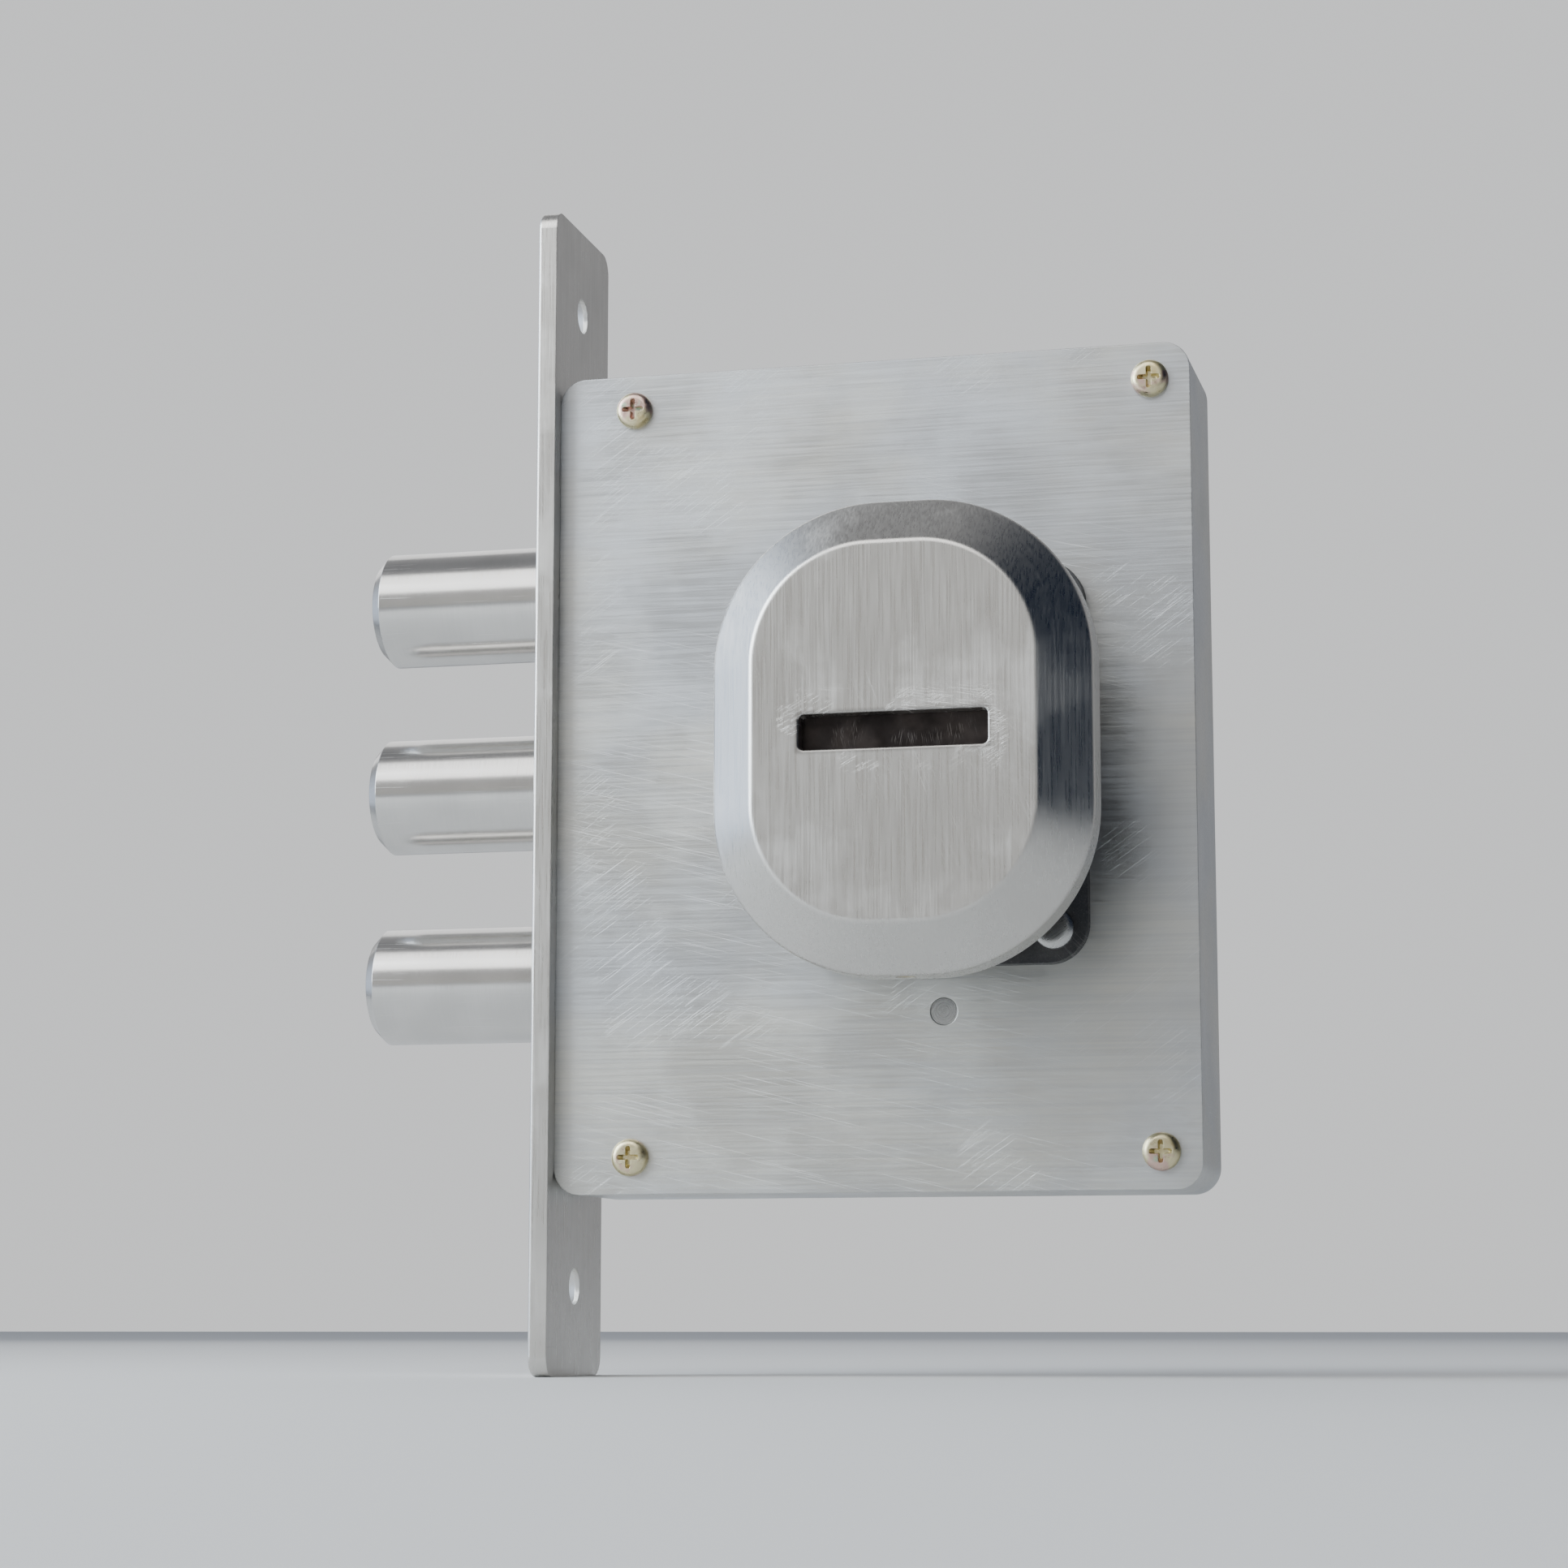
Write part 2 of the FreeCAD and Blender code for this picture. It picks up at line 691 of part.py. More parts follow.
def outer_base():
    """The block that is screwed to the door, with the shutter's pocket in its front."""
    body = new_body("outer_base")
    form = (HOLLOW_STRAIGHT, HOLLOW_BEVEL, BASE_DEPTH)
    bevelled_form(body, "base_form", True, "-", "cover_wall + fit_gap", *form)
    pocket = front_sketch(body, "shutter_pocket", BASE_FACE)
    half = "(shutter_width / 2 + guide_play)"
    rectangle(pocket, f"-{half}", half, "-shutter_pocket_floor", f"{SHUTTER_TOP} + guide_play")
    feature(body, "Pocket", pocket, "shutter_pocket_depth", outward=False)
    opening = front_sketch(body, "base_slot", BASE_FACE)
    key_slot(opening, "slot_play")
    feature(body, "Pocket", opening, BASE_DEPTH, outward=False)
    radius, head = "(fixing_radius + fit_gap)", "(fixing_head_radius + fit_gap)"
    sink = f"{BASE_FACE} + fixing_head_height"
    tools = [grub_seat("outer_grub_seat", "outer_grub_depth", "grub_radius")]
    for side, z in FIXINGS.items():
        tools.append(cone(f"{side}_sink", "y", ("0", z), head, radius, BASE_FACE, sink))
        tools.append(rod(f"{side}_hole", "y", ("0", z), radius, BASE_FACE, "overshoot"))
    return cut("outer_base_drilled", body, *tools)


def outer_shutter():
    """The sprung plate that closes the slot. Its upper front edge is eased for the key's tip."""
    body = new_body("outer_shutter")
    front = f"({BASE_FACE} + fit_gap)"

    def draw(sketch):
        rectangle(sketch, "-shutter_width / 2", "shutter_width / 2", SHUTTER_LOW, SHUTTER_TOP)

    made = plate(body, "shutter", front, f"{front} + shutter_thickness", draw)
    at_front = in_plane("Y", front)
    at_top = in_plane("Z", SHUTTER_TOP)
    soften(body, made, "shutter_easing", lambda edge: at_front(edge) and at_top(edge))
    return body


def shutter_springs():
    y = f"{BASE_FACE} + shutter_pocket_depth / 2"
    ends = ("-shutter_pocket_floor", SHUTTER_LOW)
    sizes = ("shutter_coil_pitch", "shutter_coil_radius", "shutter_wire_radius")
    coils = [coil(x, y, *ends, *sizes) for x in ("-shutter_spring_x", "shutter_spring_x")]
    return raw("shutter_coils", Part.makeCompound(coils))


def outer_screws():
    """Countersunk screws from the outside base into the nuts on the hard plate."""
    under = f"({BASE_FACE} + fixing_head_height)"
    recess = (f"{BASE_FACE} - overshoot", f"{BASE_FACE} + drive_depth")
    tip = f"{CASE_FRONT} - tip_clearance"
    screws = []
    for side, z in FIXINGS.items():
        name = f"outer_screw_{side}"
        radii = ("fixing_head_radius", "fixing_radius")
        head = cone(f"{name}_head", "y", ("0", z), *radii, BASE_FACE, under)
        shank = rod(f"{name}_shank", "y", ("0", z), "fixing_radius", under, tip)
        socket = hexagon(f"{name}_socket", "y", ("0", z), "fixing_radius * drive_share", *recess)
        screws.append(cut(name, fuse(f"{name}_blank", head, shank), socket))
    return group("outer_screw_pair", *screws)


# ---------------------------------------------------------------- inside escutcheon

INNER_FRONT = f"({INNER_FACE} + inner_depth)"
INNER_SHOULDER = f"({INNER_FRONT} - inner_bevel)"
INNER_BASE_FACE = f"({INNER_FACE} + inner_base_thickness)"
FLAP_BACK = f"({INNER_FRONT} + flap_gap)"
FLAP_FACE = f"({FLAP_BACK} + flap_thickness)"


def inner_cover():
    body = new_body("inner_cover")
    straight = "inner_depth - inner_bevel"
    form = bevelled_form(
        body, "inner_form", True, "", "0", straight, "inner_bevel", "inner_depth", INNER_FACE
    )
    soft_front = soften(body, form, "edge_softening", in_plane("Y", INNER_FRONT))
    soften(body, soft_front, "inner_softening", in_plane("Y", INNER_SHOULDER))
    shoulder = f"{straight} - inner_hollow_drop"
    hollow = (shoulder, "inner_hollow_bevel", "inner_depth - inner_wall")
    bevelled_form(body, "inner_hollow", False, "", "inner_wall", *hollow, INNER_FACE)
    opening = front_sketch(body, "inner_slot", INNER_FRONT)
    key_slot(opening, "slot_play")
    circle(opening, "0", "flap_pivot_height", "flap_pin_radius")
    feature(body, "Pocket", opening, "inner_depth", outward=True)
    depth = f"{INNER_FACE} + inner_grub_depth"
    grub_hole(body, "inner_grub_hole", depth, "inner_grub_radius", "inner_wall")
    return body


def inner_base():
    body = new_body("inner_base")

    def draw(sketch):
        half_width = "(plate_width / 2 - inner_wall - fit_gap)"
        half_height = "(plate_height / 2 - inner_wall - fit_gap)"
        corner = "(plate_corner - inner_wall - fit_gap)"
        rounded_rectangle(
            sketch, f"-{half_width}", half_width, f"-{half_height}", half_height, corner
        )
        key_slot(sketch, "slot_play")
        for z in FIXINGS.values():
            circle(sketch, "0", z, "fixing_radius + fit_gap")

    plate(body, "inner_base", INNER_FACE, INNER_BASE_FACE, draw)
    seat = grub_seat("inner_grub_seat", f"{INNER_FACE} + inner_grub_depth", "inner_grub_radius")
    return cut("inner_base_drilled", body, seat)


def inner_screws():
    """Pan-head screws from the inside base into the nuts on the case."""
    top = f"({INNER_BASE_FACE} + inner_head_height)"
    recess = (f"{top} - drive_depth", f"{top} + overshoot")
    tip = f"({CASE_REAR} + tip_clearance)"
    screws = []
    for side, z in FIXINGS.items():
        name = f"inner_screw_{side}"
        head = rod(f"{name}_head", "y", ("0", z), "fixing_head_radius", INNER_BASE_FACE, top)
        shank = rod(f"{name}_shank", "y", ("0", z), "fixing_radius", tip, INNER_BASE_FACE)
        socket = hexagon(f"{name}_socket", "y", ("0", z), "fixing_radius * drive_share", *recess)
        screws.append(cut(name, fuse(f"{name}_blank", head, shank), socket))
    return group("inner_screw_pair", *screws)


def inner_flap():
    """The swinging flap over the inside slot, with a small knob to push it aside."""
    body = new_body("inner_flap")

    def draw(sketch):
        sides = ("-flap_width / 2", "flap_width / 2", "-flap_bottom", "flap_top")
        rounded_rectangle(sketch, *sides, "flap_corner")
        circle(sketch, "0", "flap_pivot_height", "flap_pin_radius + fit_gap")

    plate(body, "flap", FLAP_BACK, FLAP_FACE, draw)
    knob_face = f"({FLAP_FACE} + flap_knob_height)"
    knob = front_sketch(body, "flap_knob", knob_face)
    circle(knob, "0", "-flap_bottom / 2", "flap_knob_radius")
    button = feature(body, "Pad", knob, "flap_knob_height + flap_thickness / 2", outward=True)
    eased = soften(body, button, "flap_softening", in_plane("Y", FLAP_FACE))
    beyond = value(f"{FLAP_FACE} + flap_knob_height / 2")
    soften(body, eased, "flap_knob_softening", lambda edge: edge.BoundBox.YMin > beyond)
    return body


def flap_rivet():
    centre = ("0", "flap_pivot_height")
    head_low = f"({FLAP_FACE} + fit_gap)"
    head_top = f"{head_low} + flap_head_height"
    wall = f"({INNER_FRONT} - inner_wall)"
    tail = f"({wall} - rivet_tail_height)"
    pin = rod("flap_rivet_pin", "y", centre, "flap_pin_radius", tail, head_low)
    upset = rod("flap_rivet_tail", "y", centre, "flap_pin_radius + rivet_tail_height", tail, wall)
    radii = ("flap_head_radius", "flap_head_top")
    head = cone("flap_rivet_head", "y", centre, *radii, head_low, head_top)
    return fuse("flap_rivet_form", pin, upset, head)


# ---------------------------------------------------------------- forend and case

FOREND_RIVETS = (
    "-forend_rivet_outer",
    "-forend_rivet_inner",
    "forend_rivet_inner",
    "forend_rivet_outer",
)
RIVET_SINK = "(-backset + rivet_head_radius - rivet_radius)"
FOREND_HOLES = ("-forend_hole_spacing / 2", "forend_hole_spacing / 2")
PILLARS = {
    "front_low": (f"{FOREND_BACK} + pillar_edge", "-pillar_height"),
    "front_high": (f"{FOREND_BACK} + pillar_edge", "pillar_height"),
    "rear_low": (f"{CASE_END} - pillar_edge / 2", "-pillar_height"),
    "rear_high": (f"{CASE_END} - pillar_edge / 2", "pillar_height"),
}
LEVER_POST_HEIGHTS = ("-lever_post_z", "lever_post_z")
HARD_RIVETS = {
    "low_left": ("-hard_rivet_x", "-hard_rivet_z"),
    "low_right": ("hard_rivet_x", "-hard_rivet_z"),
    "high_left": ("-hard_rivet_x", "hard_rivet_z"),
    "high_right": ("hard_rivet_x", "hard_rivet_z"),
}


def forend():
    body = new_body("forend")
    sketch = sketch_on(body, "forend_outline", "YZ_Plane", "-backset")
    low, high = f"{MIDDLE} - forend_width / 2", f"{MIDDLE} + forend_width / 2"
    ends = ("-forend_length / 2", "forend_length / 2")
    rounded_rectangle(sketch, low, high, *ends, "forend_corner")
    for z in BOLT_HEIGHTS.values():
        circle(sketch, MIDDLE, z, "bolt_radius + bolt_play")
    for z in FOREND_RIVETS:
        circle(sketch, MIDDLE, z, "rivet_radius")
    for z in FOREND_HOLES:
        circle(sketch, MIDDLE, z, "forend_hole_radius")
    slab = feature(body, "Pad", sketch, "forend_thickness", outward=True)
    soften(body, slab, "forend_softening", in_plane("X", "-backset"))
    sinks = []
    for index, z in enumerate(FOREND_HOLES):
        sink = "-backset + forend_sink_radius - forend_hole_radius"
        radii = ("forend_sink_radius", "forend_hole_radius")
        sinks.append(cone(f"screw_sink_{index}", "x", (MIDDLE, z), *radii, "-backset", sink))
    for index, z in enumerate(FOREND_RIVETS):
        radii = ("rivet_head_radius", "rivet_radius")
        sinks.append(cone(f"rivet_sink_{index}", "x", (MIDDLE, z), *radii, "-backset", RIVET_SINK))
    return cut("forend_sunk", body, *sinks)


def forend_rivets():
    """Rivets flush with the forend's face and upset inside the case's front wall."""
    wall = f"({FOREND_BACK} + sheet_metal)"
    end = f"{wall} + rivet_head_height"
    rivets = []
    for index, z in enumerate(FOREND_RIVETS):
        name, centre = f"forend_rivet_{index}", (MIDDLE, z)
        radii = ("rivet_head_radius", "rivet_radius")
        head = cone(f"{name}_head", "x", centre, *radii, "-backset", RIVET_SINK)
        neck = rod(f"{name}_neck", "x", centre, "rivet_radius", RIVET_SINK, wall)
        upset = rod(f"{name}_upset", "x", centre, "rivet_head_radius", wall, end)
        rivets.append(fuse(name, head, neck, upset))
    return group("forend_rivet_set", *rivets)


def case_outline(sketch, inset="0"):
    rounded_rectangle(
        sketch,
        f"{FOREND_BACK} + {inset}",
        f"{CASE_END} - {inset}",
        f"-case_height / 2 + {inset}",
        f"case_height / 2 - {inset}",
        f"case_corner - {inset}",
    )


def post_places():
    """Each post that is riveted through the case's floor: its centre and its radius."""
    posts = [(centre, "pillar_radius") for centre in PILLARS.values()]
    posts += [(("lever_post_x", z), "lever_post_radius") for z in LEVER_POST_HEIGHTS]
    posts.append((("upper_guide_x", "upper_guide_z"), "guide_radius"))
    posts.append((("lower_guide_x", "lower_guide_z"), "guide_radius"))
    return posts


def riveted_post(name, centre, radius, low):
    """A post from low to the case's floor, with a tail through the floor and upset behind it."""
    tail = f"({radius} - tail_inset)"
    wide = f"({tail} + tail_head_margin)"
    top = f"({CASE_REAR} + tail_head_height)"
    post = rod(f"{name}_post", "y", centre, radius, low, FLOOR)
    neck = rod(f"{name}_neck", "y", centre, tail, FLOOR, CASE_REAR)
    head = cone(f"{name}_upset", "y", centre, wide, tail, CASE_REAR, top)
    return fuse(name, post, neck, head)


def case_body():
    body = new_body("case_body")
    outline = front_sketch(body, "case_outline", CASE_REAR)
    case_outline(outline)
    tub = feature(body, "Pad", outline, f"{CASE_REAR} - {LID_BACK}", outward=True)
    soften(body, tub, "case_softening", in_plane("Y", CASE_REAR))
    hollow = front_sketch(body, "case_hollow", LID_BACK)
    case_outline(hollow, "sheet_metal")
    feature(body, "Pocket", hollow, f"{FLOOR} - {LID_BACK}", outward=False)
    openings = front_sketch(body, "case_floor_holes", CASE_REAR)
    key_slot(openings, "slot_play")
    circle(openings, "0", TRANSFER_Z, "pivot_radius + fit_gap / 2")
    for (x, z), radius in post_places():
        circle(openings, x, z, f"{radius} - tail_inset")
    feature(body, "Pocket", openings, "sheet_metal", outward=True)
    front = sketch_on(body, "case_front_holes", "YZ_Plane", FOREND_BACK)
    for z in BOLT_HEIGHTS.values():
        circle(front, MIDDLE, z, "bolt_radius + bolt_play")
    for z in FOREND_RIVETS:
        circle(front, MIDDLE, z, "rivet_radius")
    feature(body, "Pocket", front, "sheet_metal", outward=True)
    return body


def case_cover():
    body = new_body("case_cover")

    def draw(sketch):
        case_outline(sketch)
        circle(sketch, "0", "0", "hub_radius + fit_gap")
        circle(sketch, "0", TRANSFER_Z, "pivot_radius + fit_gap / 2")
        for x, z in PILLARS.values():
            circle(sketch, x, z, "cover_screw_radius + fit_gap")
        for x, z in HARD_RIVETS.values():
            circle(sketch, x, z, "rivet_radius")

    plate(body, "lid", CASE_FRONT, LID_BACK, draw)
    return body


def case_pillars():
    thread_end = f"{LID_BACK} + cover_screw_depth + tip_clearance"
    pillars = []
    for name, centre in PILLARS.items():
        post = riveted_post(f"pillar_{name}", centre, "pillar_radius", LID_BACK)
        thread = rod(f"thread_{name}", "y", centre, "cover_screw_radius", LID_BACK, thread_end)
        pillars.append(cut(f"tapped_pillar_{name}", post, thread))
    return group("pillar_set", *pillars)


def cover_screws():
    """Cross-head screws that hold the case's cover on the pillars."""
    top = f"({CASE_FRONT} - cover_screw_head_height)"
    tip = f"{LID_BACK} + cover_screw_depth"
    recess = (f"{top} - overshoot", f"{top} + cross_depth")
    arm, half = "cross_reach", "cross_width / 2"
    screws = []
    for name, (x, z) in PILLARS.items():
        head = rod(f"screw_head_{name}", "y", (x, z), "cover_screw_head", top, CASE_FRONT)
        shank = rod(f"screw_shank_{name}", "y", (x, z), "cover_screw_radius", CASE_FRONT, tip)
        blank = fuse(f"screw_blank_{name}", head, shank)
        cross = [
            block(
                f"drive_{name}_{turn}",
                (f"{x} - {wide}", f"{x} + {wide}"),
                recess,
                (f"{z} - {high}", f"{z} + {high}"),
            )
            for turn, (wide, high) in enumerate(((arm, half), (half, arm)))
        ]
        screws.append(cut(f"cover_screw_{name}", blank, *cross))
    return group("cover_screw_set", *screws)


def hard_plate():
    body = new_body("hard_plate")

    def draw(sketch):
        half_width, half_height = "hard_plate_width / 2", "hard_plate_height / 2"
        sides = (f"-{half_width}", half_width, f"-{half_height}", half_height)
        rounded_rectangle(sketch, *sides, "hard_plate_corner")
        key_slot(sketch, "slot_play")
        for x, z in HARD_RIVETS.values():
            circle(sketch, x, z, "rivet_radius")
        for z in FIXINGS.values():
            circle(sketch, "0", z, "fixing_radius")

    plate(body, "hard_plate", HARD_FRONT, CASE_FRONT, draw)
    return body


def hard_plate_rivets():
    head_top = f"({HARD_FRONT} - hard_rivet_height)"
    radii = ("hard_rivet_top", "rivet_head_radius")
    rivets = []
    for name, centre in HARD_RIVETS.items():
        head = cone(f"hard_rivet_head_{name}", "y", centre, *radii, head_top, HARD_FRONT)
        neck = rod(f"hard_rivet_neck_{name}", "y", centre, "rivet_radius", HARD_FRONT, LID_BACK)
        rivets.append(fuse(f"hard_rivet_{name}", head, neck))
    return group("hard_rivet_set", *rivets)


def nut_pair(name, low, high):
    """Two round tapped nuts welded to a plate, on the fixing screws' axes."""
    nuts = []
    for side, z in FIXINGS.items():
        barrel = rod(f"{name}_{side}_barrel", "y", ("0", z), "nut_radius", low, high)
        thread = rod(f"{name}_{side}_thread", "y", ("0", z), "fixing_radius", low, high)
        nuts.append(cut(f"{name}_{side}", barrel, thread))
    return group(f"{name}_pair", *nuts)


# ---------------------------------------------------------------- bolts and carriage

CARRIAGE_SCREW_X = f"({BOLT_REAR} - carriage_bar / 2)"
CARRIAGE_SCREW_LOW = f"({MIDDLE} - bolt_radius / 2)"
CARRIAGE_SINK = f"({CARRIAGE_BACK} - carriage_screw_head + carriage_screw_radius)"


def lock_bolt(name, z):
    """A round bolt with a chamfered nose and a flat at its rear for the carriage."""
    centre = (MIDDLE, z)
    shoulder = f"({BOLT_TIP} + bolt_chamfer)"
    radii = ("bolt_radius - bolt_chamfer", "bolt_radius")
    nose = cone(f"{name}_nose", "x", centre, *radii, BOLT_TIP, shoulder)
    bar = rod(f"{name}_bar", "x", centre, "bolt_radius", shoulder, BOLT_REAR)
    flat = block(
        f"{name}_flat",
        (f"{BAR_LEFT} - fit_gap", f"{BOLT_REAR} + overshoot"),
        (CARRIAGE_FRONT, f"{CARRIAGE_FRONT} + bolt_radius"),
        (f"{z} - bolt_radius", f"{z} + bolt_radius"),
    )
    screw = (CARRIAGE_SCREW_X, z)
    low = f"{CARRIAGE_SCREW_LOW} - tip_clearance"
    thread = rod(f"{name}_thread", "y", screw, "carriage_screw_radius", low, CARRIAGE_FRONT)
    return cut(f"{name}_form", fuse(f"{name}_round", nose, bar), flat, thread)


def rack(body, root):
    """The rack's teeth along the top of the carriage's lower arm, with a gap at x = 0."""
    tooth = front_sketch(body, "rack_tooth", CARRIAGE_BACK)
    half = f"({RACK_PITCH} / 4 - gear_backlash / 2)"
    middle = f"({RACK_PITCH} * rack_start)"
    narrow = f"({half} - rack_addendum * tan(pressure_angle))"
    wide = f"({half} + gear_module * dedendum * tan(pressure_angle))"
    tip = f"({RACK_LINE} + rack_addendum)"
    outline = [
        (f"{middle} - {wide}", f"{root} - overshoot"),
        (f"{middle} + {wide}", f"{root} - overshoot"),
        (f"{middle} + {wide}", root),
        (f"{middle} + {narrow}", tip),
        (f"{middle} - {narrow}", tip),
        (f"{middle} - {wide}", root),
    ]
    polygon(tooth, outline)
    first = feature(body, "Pad", tooth, "carriage_thickness", outward=True)
    doc.recompute()
    row = body.newObject("PartDesign::LinearPattern", "rack")
    row.Originals = [first]
    row.Direction = (tooth, ["H_Axis"])
    row.Reversed = True
    bind(row, "Occurrences", "rack_teeth")
    bind(row, "Length", f"{RACK_PITCH} * (rack_teeth - 1)")
    body.Tip = row


def bolt_carriage():
    """A C-shaped plate round the key: three bolts in front, stump arm above, rack arm below."""
    body = new_body("bolt_carriage")
    arm_right = f"({RACK_PITCH} * (rack_start + 1 / 2))"
    root = f"({RACK_LINE} - gear_module * dedendum)"
    stump_end = "(stump_x + stump_size / 2 + stump_margin)"

    def notch(x):
        """The corners of one detent notch in the top edge, from right to left."""
        low = "carriage_top - detent_notch"
        edge = "carriage_top"
        return [(f"{x} + detent_notch", edge), (x, low), (f"{x} - detent_notch", edge)]

    def draw(sketch):
        outline = [
            (BAR_LEFT, "-carriage_bottom"),
            (arm_right, "-carriage_bottom"),
            (arm_right, root),
            (BOLT_REAR, root),
            (BOLT_REAR, "carriage_arm_low"),
            (stump_end, "carriage_arm_low"),
            (stump_end, "carriage_top"),
            *notch("detent_x"),
            *notch(f"(detent_x - {THROW})"),
            (BAR_LEFT, "carriage_top"),
        ]
        polygon(sketch, outline)
        circle(sketch, "stump_x", "stump_z", "stump_pin_radius")
        for side in ("upper", "lower"):
            slot(
                sketch,
                f"{side}_guide_x - {THROW} - guide_play / 2",
                f"{side}_guide_x + guide_play / 2",
                f"{side}_guide_z",
                "guide_radius + guide_play / 2",
            )

    plate(body, "carriage", CARRIAGE_FRONT, CARRIAGE_BACK, draw)
    rack(body, root)
    tools = []
    for name, z in BOLT_HEIGHTS.items():
        centre = (CARRIAGE_SCREW_X, z)
        radii = ("carriage_screw_radius", "carriage_screw_head")
        hole = (f"{CARRIAGE_FRONT} - overshoot", CARRIAGE_SINK)
        tools.append(rod(f"{name}_screw_hole", "y", centre, "carriage_screw_radius", *hole))
        sink = (CARRIAGE_SINK, CARRIAGE_BACK)
        tools.append(cone(f"{name}_screw_sink", "y", centre, *radii, *sink))
    return cut("carriage_drilled", body, *tools)


def carriage_screws():
    """Countersunk screws that hold the three bolts on the carriage."""
    drive = (f"{CARRIAGE_BACK} - drive_depth", f"{CARRIAGE_BACK} + overshoot")
    across = "carriage_screw_radius * drive_share"
    screws = []
    for name, z in BOLT_HEIGHTS.items():
        centre = (CARRIAGE_SCREW_X, z)
        ends = (CARRIAGE_SCREW_LOW, CARRIAGE_SINK)
        shank = rod(f"{name}_screw_shank", "y", centre, "carriage_screw_radius", *ends)
        radii = ("carriage_screw_radius", "carriage_screw_head")
        faces = (CARRIAGE_SINK, CARRIAGE_BACK)
        head = cone(f"{name}_screw_head", "y", centre, *radii, *faces)
        socket = hexagon(f"{name}_screw_socket", "y", centre, across, *drive)
        screws.append(cut(f"{name}_screw", fuse(f"{name}_screw_blank", shank, head), socket))
    return group("carriage_screw_set", *screws)


def bolt_stump():
    """The square post on the carriage that passes through the levers' gates."""
    half = "stump_size / 2"
    square = block(
        "stump_square",
        (f"stump_x - {half}", f"stump_x + {half}"),
        (f"{DIVIDER_BACK} + fit_gap", CARRIAGE_FRONT),
        (f"stump_z - {half}", f"stump_z + {half}"),
    )
    ends = (CARRIAGE_FRONT, CARRIAGE_BACK)
    pin = rod("stump_pin", "y", ("stump_x", "stump_z"), "stump_pin_radius", *ends)
    return fuse("stump_form", square, pin)


def upper_guide_post():
    centre = ("upper_guide_x", "upper_guide_z")
    return riveted_post("upper_guide", centre, "guide_radius", LID_BACK)


def lower_guide_post():
    centre = ("lower_guide_x", "lower_guide_z")
    neck = f"({CARRIAGE_FRONT} - layer_gap)"
    pin = riveted_post("lower_guide_pin", centre, "guide_radius", neck)
    head_low = f"{neck} - guide_head_height"
    head = rod("lower_guide_head", "y", centre, "guide_head_radius", head_low, neck)
    return fuse("lower_guide", pin, head)


def detent_spring():
    """A bent wire that drops into the carriage's notch with the bolts thrown or drawn."""
    tip_z = "(carriage_top - detent_notch + spring_wire_radius * 2)"
    points = [
        ("detent_x + detent_seat_end", WIRE_CEILING),
        ("detent_x + detent_seat_start", WIRE_CEILING),
        ("detent_x + detent_knee_x", f"{tip_z} + detent_knee_z"),
        ("detent_x", tip_z),
        ("detent_x - detent_lift_x", f"{tip_z} + detent_lift_z"),
        ("detent_x - detent_tail_x", f"{tip_z} + detent_tail_z"),
    ]
    y = f"({CARRIAGE_FRONT} + carriage_thickness / 2)"
    return raw("detent_wire", bent_wire(points, "detent_bend", "spring_wire_radius", y))


# ---------------------------------------------------------------- levers


def lever_front(index):
    return f"({LEVERS_FRONT} + {index} * lever_pitch)"


def lever_window(sketch, belly):
    """The round window for the key, cut off flat at the belly that the key lifts."""
    radius, level = value("lever_window"), value(belly)
    end = math.asin(level / radius)
    round_part = Part.Circle(Vector(), Vector(0, 0, 1), radius)
    arc = sketch.addGeometry(Part.ArcOfCircle(round_part, math.pi - end, 2 * math.pi + end))
    reach = radius * math.cos(end)
    chord = sketch.addGeometry(Part.LineSegment(Vector(reach, level, 0), Vector(-reach, level, 0)))
    sketch.addConstraint(Sketcher.Constraint("Coincident", arc, 2, chord, 1))
    sketch.addConstraint(Sketcher.Constraint("Coincident", chord, 2, arc, 1))
    sketch.addConstraint(Sketcher.Constraint("Horizontal", chord))
    sketch.addConstraint(Sketcher.Constraint("Coincident", arc, 3, -1, 1))
    dimension(sketch, "Radius", arc, text="lever_window")
    dimension(sketch, "DistanceY", chord, 1, text=belly)


